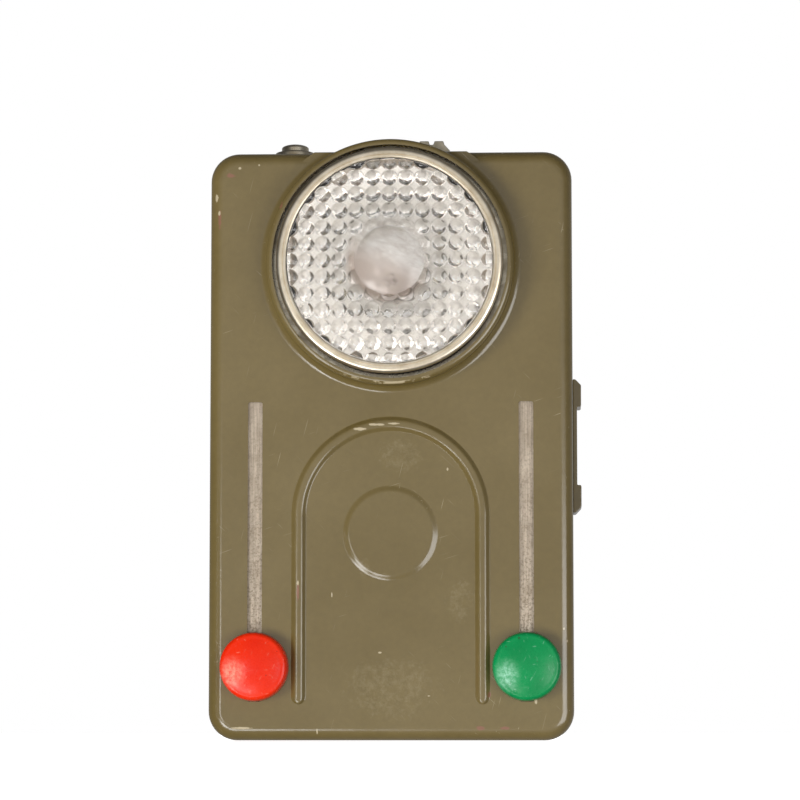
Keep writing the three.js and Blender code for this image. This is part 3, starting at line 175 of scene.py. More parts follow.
def turned(name, profile, centre, facets=ROUND, axis="Y", loop=False):
    """A radius-depth profile turned about an axis along X, Y or Z through the centre."""
    rings = []
    for i in range(facets):
        angle = 2 * math.pi * i / facets
        c, s = math.cos(angle), math.sin(angle)
        if axis == "Y":
            rings.append([(centre[0] + r * c, t, centre[1] + r * s) for r, t in profile])
        elif axis == "X":
            rings.append([(t, centre[0] + r * c, centre[1] + r * s) for r, t in profile])
        else:
            rings.append([(centre[0] + r * c, centre[1] + r * s, t) for r, t in profile])
    count = len(profile)
    faces = []
    for i in range(facets):
        low, high = i * count, (i + 1) % facets * count
        for k in range(count if loop else count - 1):
            n = (k + 1) % count
            faces.append((low + k, low + n, high + n, high + k))
    return new_mesh(name, [p for ring in rings for p in ring], faces)


def disc(name, radius, span, centre, facets=ROUND, axis="Y"):
    return turned(name, [(0, span[0]), (radius, span[0]), (radius, span[1]), (0, span[1])],
                  centre, facets, axis)


def block(name, xs, ys, zs):
    corners = [(x, y, z) for x in xs for y in ys for z in zs]
    faces = [(0, 1, 3, 2), (4, 6, 7, 5), (0, 4, 5, 1), (2, 3, 7, 6), (0, 2, 6, 4), (1, 5, 7, 3)]
    return new_mesh(name, corners, faces)


def arc(a, b, radius, start, end, steps):
    """Points on an arc about (a, b), angles in quarter turns."""
    angles = [(start + (end - start) * i / steps) * math.pi / 2 for i in range(steps + 1)]
    return [(a + radius * math.cos(t), b + radius * math.sin(t)) for t in angles]


def round_rect(xs, zs, radius, steps=CORNER_STEPS):
    (x0, x1), (z0, z1) = xs, zs
    return (arc(x1 - radius, z0 + radius, radius, -1, 0, steps)
            + arc(x1 - radius, z1 - radius, radius, 0, 1, steps)
            + arc(x0 + radius, z1 - radius, radius, 1, 2, steps)
            + arc(x0 + radius, z0 + radius, radius, 2, 3, steps))


def plate(name, outline, ys):
    """An X-Z outline between two depths."""
    return loft(name, [[(x, y, z) for x, z in outline] for y in ys])


def bar(name, outline, xs):
    """A Y-Z outline between two places along X."""
    return loft(name, [[(x, y, z) for y, z in outline] for x in xs])


def ribbon(line, thickness):
    """Outline of a bent strip of sheet that follows a line of points."""
    points = [Vector(p) for p in line]

    def side(sign):
        edge = []
        for i, point in enumerate(points):
            before = (point - points[max(i - 1, 0)]).normalized()
            after = (points[min(i + 1, len(points) - 1)] - point).normalized()
            way = (before + after).normalized()
            spread = way.dot(before if before.length else after)
            edge.append(point + Vector((-way.y, way.x)) * (sign * thickness / 2 / spread))
        return edge
    return [tuple(p) for p in side(1) + side(-1)[::-1]]


def rounded_line(line, radius, steps=6):
    """The line with each inner corner replaced by an arc."""
    points = [Vector(p) for p in line]
    smooth = [points[0]]
    for before, corner, after in zip(points, points[1:], points[2:]):
        back, on = (before - corner).normalized(), (after - corner).normalized()
        half = back.angle(on) / 2
        reach = min(radius / math.tan(half), 0.45 * (before - corner).length,
                    0.45 * (after - corner).length)
        start, end = corner + back * reach, corner + on * reach
        smooth += [start.lerp(corner, t).lerp(corner.lerp(end, t), t)
                   for t in (i / steps for i in range(steps + 1))]
    return [tuple(p) for p in smooth + [points[-1]]]


def combine(piece, tools, operation):
    """Joins or cuts the piece with the tools, which are used up."""
    for tool in tools:
        step = piece.modifiers.new("shape", "BOOLEAN")
        step.operation, step.object, step.solver = operation, tool, "EXACT"
    settle(piece)
    for tool in tools:
        bpy.data.meshes.remove(tool.data)
    return piece


def join(piece, *tools):
    return combine(piece, tools, "UNION")


def cut(piece, *tools):
    return combine(piece, tools, "DIFFERENCE")


def common(piece, *tools):
    return combine(piece, tools, "INTERSECT")


def settle(piece):
    """Puts the piece's modifiers into its mesh."""
    bpy.context.view_layer.update()
    done = bpy.data.meshes.new_from_object(
        piece.evaluated_get(bpy.context.evaluated_depsgraph_get()))
    old = piece.data
    piece.modifiers.clear()
    piece.data = done
    bpy.data.meshes.remove(old)
    return piece


def smooth(piece, angle=35):
    """Smooth shading that keeps the edges sharper than the angle."""
    piece.data.validate()
    piece.data.shade_smooth()
    piece.data.set_sharp_from_angle(angle=math.radians(angle))
    weight = piece.modifiers.new("weight", "WEIGHTED_NORMAL")
    weight.keep_sharp = True
    return piece


def broken_edges(piece, width, steps=3, angle=40):
    """Breaks the piece's sharp edges with a small round."""
    bevel = piece.modifiers.new("edges", "BEVEL")
    bevel.width, bevel.segments = width * MM, steps
    bevel.limit_method, bevel.angle_limit = "ANGLE", math.radians(angle)
    bevel.use_clamp_overlap = True
    settle(piece)
    return smooth(piece)


def bent_box(name, inset, edge_y, facing, depth):
    """The case's round-cornered box, its edge at edge_y bent over, open walls running behind it."""
    bend = BEND_RADIUS - inset
    rings = []
    for i in range(BEND_STEPS + 1):
        turn = i / BEND_STEPS * math.pi / 2
        shrink = inset + bend * (1 - math.sin(turn))
        y = edge_y + facing * -bend * (1 - math.cos(turn))
        rings.append((shrink, y))
    rings.append((inset, edge_y - facing * depth))
    return loft(name, [[(x, y, z) for x, z in case_outline(shrink)] for shrink, y in rings])


def case_outline(inset, steps=CORNER_STEPS):
    return round_rect((-CASE_WIDTH / 2 + inset, CASE_WIDTH / 2 - inset),
                      (inset, CASE_HEIGHT - inset), CORNER_RADIUS - inset, steps)


# Case

def collar_outside(name, inset):
    radius = COLLAR_RADIUS - inset
    front, back = FACE_Y - COLLAR_RISE + inset, FACE_Y + BULGE_REACH - inset
    lip, end = COLLAR_ROUND - inset / 2, BULGE_ROUND - inset
    return turned(name, [(0, front)] + arc(radius - lip, front + lip, lip, -1, 0, 8)
                  + arc(radius - end, back - end, end, 0, 1, 10) + [(0, back)], (0, LENS_Z))


def collar_fillet():
    rim, sink = COLLAR_RADIUS + COLLAR_FOOT, 0.03
    inner = COLLAR_RADIUS - SHEET / 2
    flare = turned("collar_fillet", [(inner, FACE_Y + BEND_RADIUS), (rim + 1, FACE_Y + BEND_RADIUS),
                                     (rim + 1, FACE_Y + 4 * sink)]
                   + arc(rim, FACE_Y + sink - COLLAR_FOOT, COLLAR_FOOT, 1, 2, 12)
                   + [(inner, FACE_Y - COLLAR_FOOT)], (0, LENS_Z), loop=True)
    limit = bent_box("limit", 0, FACE_Y - COLLAR_FOOT, -1, CASE_DEPTH)
    return common(flare, limit)


def pressed(across):
    """Height of a pressed bead across its width: round on top, soft at the foot."""
    crown = max(0.0, 1 - across * across) ** 1.5
    ease = max(0.0, (abs(across) - 0.3) / 0.7)
    return 0.3 * crown + 0.35 * (1 + math.cos(math.pi * min(1.0, ease)))


def arch_bead():
    """Inverted U bead: one leg up, over the arch, and down the other."""
    centre_z = LENS_Z - COLLAR_RADIUS - ARCH_DROP
    half, sink, floor = ARCH_WIDTH / 2 + 0.1, 0.04, FACE_Y + SHEET / 2
    steps = [i / 9 - 1 for i in range(19)]

    def section(x, z, out, share):
        top = [(x + out[0] * a * half * share, FACE_Y + sink - (ARCH_RISE + sink) * pressed(a) * lift(share),
                z + out[1] * a * half * share) for a in steps]
        return top + [(x + out[0] * half * share, floor, z + out[1] * half * share),
                      (x - out[0] * half * share, floor, z - out[1] * half * share)]

    def lift(share):
        return share ** 0.5

    shares = [0.04, 0.2, 0.38, 0.56, 0.72, 0.85, 0.94, 0.985, 1.0]

    def leg(side):
        return [section(side * ARCH_RADIUS, ARCH_FOOT_Z + half * (1 - math.sqrt(1 - s * s)),
                        (side, 0), s) for s in shares]

    top = []
    for i in range(65):
        turn = math.pi - math.pi * i / 64
        out = (math.cos(turn), math.sin(turn))
        top.append(section(ARCH_RADIUS * out[0], centre_z + ARCH_RADIUS * out[1], out, 1))
    return loft("arch_bead", leg(-1) + top + leg(1)[::-1])


def boss_press():
    sink, steps = 0.03, 10
    slope = [(BOSS_RADIUS - BOSS_SLOPE + 2 * BOSS_SLOPE * i / steps,
              FACE_Y + sink - (BOSS_RISE + sink) * 0.5 * (1 + math.cos(math.pi * i / steps)))
             for i in range(steps + 1)]
    return turned("boss", [(0, FACE_Y - BOSS_RISE)] + slope
                  + [(BOSS_RADIUS + BOSS_SLOPE, FACE_Y + SHEET / 2), (0, FACE_Y + SHEET / 2)],
                  (0, BOSS_HEIGHT), MIDDLE)


def filter_slot(side):
    outline = round_rect((side * SLOT_SPREAD - SLOT_WIDTH / 2, side * SLOT_SPREAD + SLOT_WIDTH / 2),
                         (SLOT_FOOT, SLOT_FOOT + SLOT_LENGTH), SLOT_CORNER, 5)
    return plate("slot", outline, (FACE_Y - OVERRUN, FACE_Y + SHEET + OVERRUN))


def catch_stud_slot(side):
    middle = FACE_Y + CATCH_BACK + CATCH_WIDTH / 2
    half, z = CATCH_STUD + GAP, CATCH_Z + side * CATCH_STUD_SPREAD
    return block("stud_slot", (INNER_HALF - OVERRUN, CASE_WIDTH / 2 + OVERRUN),
                 (middle - half, middle + half), (z - half, z + half + CATCH_TRAVEL))


def hinge_relief(ys):
    """Room for the hinge's barrel in the left wall, between two depths."""
    return block("relief", (-CASE_WIDTH / 2 - OVERRUN, HINGE_X + BARREL_RADIUS + GAP), ys,
                 (HINGE_END - HINGE_RELIEF, CASE_HEIGHT - HINGE_END + HINGE_RELIEF))


def front_housing():
    case = join(bent_box("case_shell", 0, FACE_Y, -1, SEAM_Y - FACE_Y), collar_outside("drum", 0),
                collar_fillet(), arch_bead(), boss_press())
    inside = join(bent_box("inside", SHEET, FACE_Y + SHEET, -1, CASE_DEPTH),
                  collar_outside("drum_inside", SHEET))
    neck_left = SWITCH_END - SWITCH_LENGTH / 2 - NECK_LENGTH / 2
    switch_slot = block("switch_slot", (neck_left - SWITCH_TRAVEL - GAP, neck_left + NECK_LENGTH + GAP),
                        (BUTTON_Y - NECK_WIDTH / 2 - GAP, BUTTON_Y + NECK_WIDTH / 2 + GAP),
                        (INNER_TOP - OVERRUN, CASE_HEIGHT + OVERRUN))
    relief = hinge_relief((HINGE_Y - BARREL_RADIUS - GAP, REAR_Y))
    bush_hole = disc("bush_hole", BUTTON_RADIUS + BUSH_PLAY + BUSH_WALL + GAP,
                     (INNER_TOP - OVERRUN, CASE_HEIGHT + OVERRUN), (BUTTON_X, BUTTON_Y), SMALL, "Z")
    mouth = disc("mouth", MOUTH_RADIUS, (FACE_Y - COLLAR_RISE - OVERRUN, FACE_Y), (0, LENS_Z))
    cut(case, inside, mouth, filter_slot(-1), filter_slot(1), bush_hole, switch_slot,
        catch_stud_slot(-1), catch_stud_slot(1), relief)
    return smooth(case, 30)


def rear_cover():
    tray = cut(bent_box("cover_tray", 0, REAR_Y, 1, COVER_DEPTH - SEAM),
               bent_box("tray_inside", SHEET, REAR_Y - SHEET, 1, CASE_DEPTH))

    def band(outer, y0, y1):
        inner = SHEET + GAP + LIP_SHEET
        return cut(plate("lip", case_outline(outer), (y0, y1)),
                   plate("lip_inside", case_outline(inner), (y0 - OVERRUN, y1 + OVERRUN)))

    lip = join(band(SHEET + GAP, SEAM_Y - LIP_DEPTH, SEAM_Y + SEAM + LIP_LANDING),
               band(SHEET / 2, SEAM_Y + SEAM, SEAM_Y + SEAM + LIP_LANDING))
    cut(lip, block("hinge_side", (-CASE_WIDTH / 2 - OVERRUN, -CASE_WIDTH / 2 + CORNER_RADIUS + GAP),
                   (SEAM_Y - LIP_DEPTH - OVERRUN, REAR_Y), (-OVERRUN, CASE_HEIGHT + OVERRUN)))
    relief = hinge_relief((SEAM_Y, HINGE_Y + BARREL_RADIUS + GAP))
    holes = [disc("rivet_hole", CLIP_HOLE, (REAR_Y - SHEET - OVERRUN, REAR_Y + OVERRUN), (0, z), SMALL)
             for z in CLIP_RIVETS]
    return smooth(cut(join(tray, lip), relief, *holes), 30)


# Hinge

def knuckle_spans(kind):
    length = CASE_HEIGHT - 2 * HINGE_END
    step = (length + GAP) / KNUCKLES
    return [(HINGE_END + i * step, HINGE_END + (i + 1) * step - GAP)
            for i in range(KNUCKLES) if i % 2 == kind]


def hinge_leaf(name, kind, ys):
    x0, sheet = -INNER_HALF + GAP, 0.6
    leaf = block(name, (x0, x0 + sheet), ys, (HINGE_END, CASE_HEIGHT - HINGE_END))
    reach = BARREL_RADIUS + GAP
    notches = [block("notch", (x0 - OVERRUN, x0 + sheet + OVERRUN), (HINGE_Y - reach, HINGE_Y + reach),
                     (z0 - GAP, z1 + GAP)) for z0, z1 in knuckle_spans(1 - kind)]
    cut(leaf, *notches)
    barrels = [disc("barrel", BARREL_RADIUS, span, (HINGE_X, HINGE_Y), SMALL, "Z")
               for span in knuckle_spans(kind)]
    join(leaf, *barrels)
    cut(leaf, disc("bore", HINGE_PIN + 0.2, (0, CASE_HEIGHT), (HINGE_X, HINGE_Y), SMALL, "Z"))
    return smooth(leaf)


def hinge_pin():
    proud, chamfer, tip = 0.4, 0.2, HINGE_PIN * 0.7
    low, high = HINGE_END - proud, CASE_HEIGHT - HINGE_END + proud
    return smooth(turned("hinge_pin_round", [(0, low), (tip, low), (HINGE_PIN, low + chamfer),
                                             (HINGE_PIN, high - chamfer), (tip, high), (0, high)],
                         (HINGE_X, HINGE_Y), SMALL, "Z"))


# Side catch

def catch_slide():
    x0, half = CASE_WIDTH / 2 + 0.08, CATCH_LENGTH / 2
    strip, middle = CASE_WIDTH / 2 + GAP + CATCH_STRIP, FACE_Y + CATCH_BACK + CATCH_WIDTH / 2
    lug = strip + CATCH_LUG_RISE

    def end(sign):
        inner = rounded_line([(half - CATCH_LUG, strip), (half - CATCH_LUG, lug), (half - CATCH_SLOPE, lug),
                              (half, strip - CATCH_STRIP / 2), (half, x0)], 0.55, 4)
        return [(sign * z, x) for z, x in inner]

    outline = [(x, CATCH_Z + z) for z, x in end(1) + end(-1)[::-1]]
    slide = plate("catch", outline, (FACE_Y + CATCH_BACK, FACE_Y + CATCH_BACK + CATCH_WIDTH))
    broken_edges(slide, 0.2)
    settle(slide)
    studs = [turned("stud", [(0, INNER_HALF - 1.4), (CATCH_STUD, INNER_HALF - 1.4),
                             (CATCH_STUD, x0 + CATCH_STRIP / 2), (0, x0 + CATCH_STRIP / 2)],
                    (middle, CATCH_Z + side * CATCH_STUD_SPREAD), SMALL, "X") for side in (-1, 1)]
    return smooth(join(slide, *studs))


# Lens group

def ring_wave(radius, angle):
    """Knurl: rounded teeth round the ring's skirt."""
    return radius - KNURL_DEPTH * (0.5 - 0.5 * math.cos(KNURL_COUNT * angle)) ** 0.7


def lens_ring():
    inner = RING_RADIUS - RING_WALL
    shoulder = 0.95
    front = ([(RING_SIGHT, RING_FRONT_Y + RING_LIP)]
             + arc(RING_SIGHT + 0.3, RING_FRONT_Y + 0.3, 0.3, 2, 3, 5)
             + [(RING_SIGHT + 0.62, RING_FRONT_Y), (RING_SIGHT + 0.7, RING_FRONT_Y + 0.09),
                (RING_SIGHT + 0.78, RING_FRONT_Y)]
             + arc(RING_RADIUS - shoulder, RING_FRONT_Y + shoulder, shoulder, 3, 3.98, 12)
             + [(RING_RADIUS, RING_FRONT_Y + 1.2), (inner, RING_FRONT_Y + 1.2),
                (inner, RING_FRONT_Y + RING_LIP)])
    ring = turned("ring", front, (0, LENS_Z), ROUND * 2, loop=True)
    facets = KNURL_COUNT * 8
    outer = [2 * math.pi * i / facets for i in range(facets)]

    def knurl_loop(y, depth):
        reach = [RING_RADIUS - 0.1 - (RING_RADIUS - ring_wave(RING_RADIUS, a)) * depth for a in outer]
        return [(r * math.cos(a), y, LENS_Z + r * math.sin(a)) for r, a in zip(reach, outer)]

    def bore_loop(y):
        return [(inner * math.cos(a), y, LENS_Z + inner * math.sin(a)) for a in outer]

    y0, y1 = RING_FRONT_Y + 1.1, RING_FRONT_Y + RING_SKIRT
    skirt = loft("skirt", [knurl_loop(y0, 0), knurl_loop(y0 + 0.25, 1), knurl_loop(y1 - 0.2, 1),
                           knurl_loop(y1, 0.4), bore_loop(y1), bore_loop(y0)], loop=True)
    smooth(skirt, 40)
    settle(skirt)
    smooth(ring, 40)
    settle(ring)
    return merge("lens_ring_turned", [ring, skirt])


def merge(name, parts):
    """One object from several closed meshes, kept as they are."""
    shape = bmesh.new()
    for part in parts:
        shape.from_mesh(part.data)
    mesh = bpy.data.meshes.new(name)
    shape.to_mesh(mesh)
    shape.free()
    for part in parts:
        bpy.data.meshes.remove(part.data)
    return place(name, mesh)


def lens_face(x, z):
    """Depth of the pressed lens: a round dome in each square of the grid, on a crowned disc."""
    u = (x / LENSLET_PITCH - round(x / LENSLET_PITCH)) * LENSLET_PITCH
    v = (z / LENSLET_PITCH - round(z / LENSLET_PITCH)) * LENSLET_PITCH
    ball = (LENSLET_BASE ** 2 + LENSLET_RISE ** 2) / (2 * LENSLET_RISE)
    dome = max(math.sqrt(max(ball ** 2 - u * u - v * v, 0.0)) - ball + LENSLET_RISE, 0.0)
    # The domes next to the plain eye are pressed shallower.
    dome *= min(1.0, max(0.12, (math.hypot(x, z) - BULLSEYE_RADIUS + 0.4) / 3.2))
    crown = 1 - (x * x + z * z) / LENS_RADIUS ** 2
    return LENS_FRONT_Y - LENS_CROWN * crown - dome


def pressed_lens():
    steps, cells = 14, 13
    count = steps * cells + 1
    line = [(i / steps - cells / 2) * LENSLET_PITCH for i in range(count)]
    points = [(x, lens_face(x, z), z + LENS_Z) for z in line for x in line]
    points += [(x, LENS_BACK_Y, z + LENS_Z) for z in line for x in line]
    back, faces = count * count, []
    for j in range(count - 1):
        for i in range(count - 1):
            a = j * count + i
            faces.append((a, a + 1, a + count + 1, a + count))
            faces.append((back + a, back + a + count, back + a + count + 1, back + a + 1))
    edge = (list(range(count)) + [j * count + count - 1 for j in range(1, count)]
            + [back - 1 - i for i in range(1, count)]
            + [back - count - j * count for j in range(1, count - 1)])
    faces += [(a, b, b + back, a + back) for a, b in zip(edge, edge[1:] + edge[:1])]
    field = new_mesh("pillow_lens", points, faces)
    reach = (RING_FRONT_Y - 6, LENS_BACK_Y + OVERRUN)
    common(field, disc("sight", RING_SIGHT - 0.2, reach, (0, LENS_Z), ROUND))
    cut(field, disc("eye_hole", BULLSEYE_RADIUS, reach, (0, LENS_Z), MIDDLE))
    rim = LENS_FRONT_Y - LENS_CROWN
    sphere = (BULLSEYE_RADIUS ** 2 + BULLSEYE_RISE ** 2) / (2 * BULLSEYE_RISE)
    dome = [(BULLSEYE_RADIUS * i / 16,
             rim - BULLSEYE_RISE + sphere - math.sqrt(sphere ** 2 - (BULLSEYE_RADIUS * i / 16) ** 2))
            for i in range(17)]
    eye = turned("eye", dome + [(BULLSEYE_RADIUS + 0.15, rim + 0.1), (BULLSEYE_RADIUS + 0.15, LENS_BACK_Y),
                                (0, LENS_BACK_Y)], (0, LENS_Z), MIDDLE)
    flange = turned("flange", [(RING_SIGHT - 0.5, LENS_FRONT_Y), (LENS_RADIUS, LENS_FRONT_Y),
                               (LENS_RADIUS, LENS_BACK_Y), (RING_SIGHT - 0.5, LENS_BACK_Y)],
                    (0, LENS_Z), loop=True)
    return smooth(join(field, eye, flange), 40)


def reflector():
    focus = WINDOW_RADIUS ** 2 / (4 * MIRROR_DEPTH)
    vertex_y = MIRROR_Y + MIRROR_DEPTH
    radii = [WINDOW_RADIUS + (MIRROR_HOLE - WINDOW_RADIUS) * i / 24 for i in range(25)]
    front = [(r, vertex_y - r * r / (4 * focus)) for r in radii]
    back = [(r, y + MIRROR_SHEET * math.hypot(1, r / (2 * focus))) for r, y in reversed(front)]
    rim = WINDOW_RADIUS + MIRROR_FLANGE
    return smooth(turned("mirror_bowl", [(rim, MIRROR_Y)] + front + back
                         + [(WINDOW_RADIUS + MIRROR_SHEET, MIRROR_Y + MIRROR_SHEET),
                            (rim, MIRROR_Y + MIRROR_SHEET)], (0, LENS_Z), loop=True), 30)


def focus_y():
    return MIRROR_Y + MIRROR_DEPTH - WINDOW_RADIUS ** 2 / (4 * MIRROR_DEPTH)


def bulb():
    centre, core = focus_y(), BULB_RADIUS - BULB_WALL
    neck_y = centre + math.sqrt(BULB_RADIUS ** 2 - BULB_NECK ** 2) + BULB_NECK_LENGTH

    def quarter(radius, width):
        return math.asin(width / radius) / (math.pi / 2)

    outer = [(max(r, 0), y) for y, r in arc(centre, 0, BULB_RADIUS, 2, quarter(BULB_RADIUS, BULB_NECK), 20)]
    bore = BULB_NECK - BULB_WALL
    inner = [(max(r, 0), y) for y, r in arc(centre, 0, core, quarter(core, bore), 2, 20)]
    return smooth(turned("bulb_envelope", outer + [(BULB_NECK, neck_y), (bore, neck_y)] + inner,
                         (0, LENS_Z), MIDDLE), 50)


# Knobs

def filter_knob(name, side):
    x, back = side * SLOT_SPREAD, FACE_Y - GAP
    front, rim = back - KNOB_THICK, KNOB_RADIUS - KNOB_DRAFT - KNOB_ROUND
    crown = [(rim * i / 12, front + KNOB_CROWN * (i / 12) ** 2) for i in range(12)]
    knob = turned(name, crown + arc(rim, front + KNOB_CROWN + KNOB_ROUND, KNOB_ROUND, -1, 0, 10)
                  + [(KNOB_RADIUS - 0.1, back - 0.3), (KNOB_RADIUS - 0.25, back), (0, back)],
                  (x, KNOB_REST), ROUND)
    half = SLOT_WIDTH / 2 - GAP
    key = plate("key", round_rect((x - half, x + half), (KNOB_REST - KEY_HEIGHT / 2,
                KNOB_REST + KEY_HEIGHT / 2), half / 2, 4), (back - KNOB_THICK / 4, FACE_Y + SHEET - 0.1))
    join(knob, key)
    cut(knob, disc("rivet_bore", RIVET_RADIUS + 0.2, (FACE_Y + SHEET - 0.1 - 3.3, FACE_Y + 3),
                   (x, KNOB_REST), SMALL))
    return smooth(knob)


# Button and switch

def button_plunger():
    top, foot = CASE_HEIGHT + BUTTON_TOP, CASE_HEIGHT + BUTTON_TOP - BUTTON_BODY
    stem_foot = CASE_HEIGHT - LEAF_DROP + LEAF_HALF + GAP + BUTTON_STROKE
    dome = [(max(BUTTON_RADIUS * a, 0), top - BUTTON_CROWN * (1 - b)) for a, b in arc(0, 0, 1, 0, 1, 12)]
    return smooth(turned("morse_button", [(0, stem_foot), (STEM_RADIUS, stem_foot), (STEM_RADIUS, foot),
                                          (BUTTON_RADIUS, foot)] + dome,
                         (BUTTON_X, BUTTON_Y), MIDDLE, "Z"))


def button_bush():
    bore, radius = BUTTON_RADIUS + BUSH_PLAY, BUTTON_RADIUS + BUSH_PLAY + BUSH_WALL
    foot, lip_top, flange = CASE_HEIGHT - 3.2, CASE_HEIGHT - 2.5, INNER_TOP - GAP
    return smooth(turned("button_guide", [(1.5, foot), (radius, foot), (radius, flange - 0.6),
                         (NUT_RADIUS, flange - 0.6), (NUT_RADIUS, flange), (radius, flange)]
                         + arc(radius - 0.2, CASE_HEIGHT + BUSH_TOP - 0.2, 0.2, 0, 1, 4)
                         + [(bore, CASE_HEIGHT + BUSH_TOP), (bore, lip_top), (1.5, lip_top)],
                         (BUTTON_X, BUTTON_Y), MIDDLE, "Z", loop=True))


def button_nut():
    z0, bore = CASE_HEIGHT + GAP, BUTTON_RADIUS + 2 * BUSH_PLAY + BUSH_WALL
    top = z0 + NUT_THICK
    nut = turned("round_nut", [(bore, z0), (NUT_RADIUS - 0.1, z0), (NUT_RADIUS, z0 + 0.1)]
                 + arc(NUT_RADIUS - 0.25, top - 0.25, 0.25, 0, 1, 4) + [(bore, top)],
                 (BUTTON_X, BUTTON_Y), MIDDLE, "Z", loop=True)
    cut(nut, block("notch", (BUTTON_X - NUT_RADIUS - 1, BUTTON_X + NUT_RADIUS + 1),
                   (BUTTON_Y - 0.45, BUTTON_Y + 0.45), (top - 0.5, top + 1)))
    return smooth(nut)


def return_spring():
    """Coil between the bush's lip and the plunger's foot."""
    foot, top = SPRING_FOOT + SPRING_WIRE, CASE_HEIGHT + BUTTON_TOP - BUTTON_BODY - GAP / 2 - SPRING_WIRE
    steps, sides = 32, 10
    count = round(SPRING_TURNS * steps)
    rings = []
    for i in range(count + 1):
        turn, z = 2 * math.pi * i / steps, foot + (top - foot) * i / count
        section = [(SPRING_COIL + a, z + b) for a, b in arc(0, 0, SPRING_WIRE, 0, 4 - 4 / sides, sides - 1)]
        rings.append([(BUTTON_X + r * math.cos(turn), BUTTON_Y + r * math.sin(turn), h) for r, h in section])
    return smooth(loft("return_spring", rings))


def switch_knob():
    x0, x1 = SWITCH_END - SWITCH_LENGTH, SWITCH_END
    z0, top = CASE_HEIGHT + GAP, CASE_HEIGHT + SWITCH_RISE
    plinth, foot = z0 + SWITCH_PLINTH, top - RIDGE_DEPTH
    pitch = (SWITCH_LENGTH - 2 * SWITCH_INSET + RIDGE_VALLEY) / SWITCH_RIDGES
    teeth = []
    for i in range(SWITCH_RIDGES):
        right = x1 - SWITCH_INSET - i * pitch
        left = right - pitch + RIDGE_VALLEY
        teeth += [(right, foot), (right - RIDGE_SLOPE, top), (left + RIDGE_SLOPE, top), (left, foot)]
    outline = [(x0, z0), (x1, z0), (x1, plinth), *teeth, (x0, plinth)]
    knob = plate("switch_slide", outline, (BUTTON_Y - SWITCH_WIDTH / 2, BUTTON_Y + SWITCH_WIDTH / 2))
    broken_edges(knob, 0.15)
    settle(knob)
    middle = SWITCH_END - SWITCH_LENGTH / 2
    neck = block("neck", (middle - NECK_LENGTH / 2, middle + NECK_LENGTH / 2),
                 (BUTTON_Y - NECK_WIDTH / 2, BUTTON_Y + NECK_WIDTH / 2),
                 (INNER_TOP - GAP - 1.6, z0 + SWITCH_PLINTH / 2))
    return smooth(join(knob, neck))


# Rear fittings

def belt_clip():
    y, pad_foot = REAR_Y + GAP + CLIP_SHEET / 2, CLIP_TOP - CLIP_PAD
    out = y + CLIP_STAND
    line = rounded_line([(y, CLIP_TOP), (y, pad_foot), (out, pad_foot - CLIP_STAND),
                         (out, pad_foot - CLIP_REACH / 2), (y + GAP, pad_foot - CLIP_REACH),
                         (y + CLIP_TIP_OUT, pad_foot - CLIP_REACH - CLIP_TIP)], 2.5)
    clip = bar("clip", ribbon(line, CLIP_SHEET), (-CLIP_WIDTH / 2, CLIP_WIDTH / 2))
    trim = plate("clip_trim", round_rect((-CLIP_WIDTH / 2, CLIP_WIDTH / 2),
                 (pad_foot - CLIP_REACH - CLIP_TIP - 1, CLIP_TOP), 3.0, 8), (REAR_Y - 2, REAR_Y + 12))
    common(clip, trim)
    cut(clip, *[disc("clip_hole", CLIP_HOLE, (REAR_Y, REAR_Y + CLIP_STAND), (0, z), SMALL)
                for z in CLIP_RIVETS])
    return smooth(clip)


def clip_rivet(name, z):
    front, back = REAR_Y - SHEET - GAP, REAR_Y + 2 * GAP + CLIP_SHEET
    turns = [math.pi / 2 * i / 8 for i in range(9)]
    head = [(HEAD_RADIUS * math.cos(t), back + 0.9 * math.sin(t)) for t in turns]
    return smooth(turned(name, [(0, front - 0.45), (HEAD_RADIUS - 0.1, front - 0.45),
                                (HEAD_RADIUS, front - 0.3), (HEAD_RADIUS, front), (SHANK_RADIUS, front),
                                (SHANK_RADIUS, back), *[(max(r, 0), y) for r, y in head]],
                         (0, z), SMALL))


# Materials

def linear(code):
    """sRGB hex to a linear colour."""
    def channel(value):
        share = value / 255
        return share / 12.92 if share <= 0.04045 else ((share + 0.055) / 1.055) ** 2.4
    return tuple(channel(int(code[i:i + 2], 16)) for i in (1, 3, 5)) + (1.0,)


def add(tree, kind, inputs=None, stops=(), **settings):
    """Adds a shader node with its settings; an input is a number, an sRGB hex, or a node to link."""
    node = tree.nodes.new("ShaderNode" + kind)
    for name, value in settings.items():
        setattr(node, name, value)
    for i, (at, colour) in enumerate(stops):
        band = node.color_ramp.elements
        stop = band[i] if i < 2 else band.new(at)
        stop.position = at
        stop.color = linear(colour) if isinstance(colour, str) else (colour, colour, colour, 1)
    for name, value in (inputs or {}).items():
        if isinstance(value, bpy.types.Node):
            value = next(out for out in value.outputs if out.enabled)
        if isinstance(value, bpy.types.NodeSocket):
            tree.links.new(value, node.inputs[name])
        else:
            node.inputs[name].default_value = linear(value) if isinstance(value, str) else value
    return node


def blank(name):
    """A new material, its empty node tree, and the place on the piece in millimetres."""
    material = bpy.data.materials.new(name)
    material.use_nodes = True
    tree = material.node_tree
    tree.nodes.clear()
    spot = add(tree, "Mapping", {0: add(tree, "TexCoord").outputs["Object"], 3: (1 / MM, 1 / MM, 1 / MM)})
    return material, tree, spot


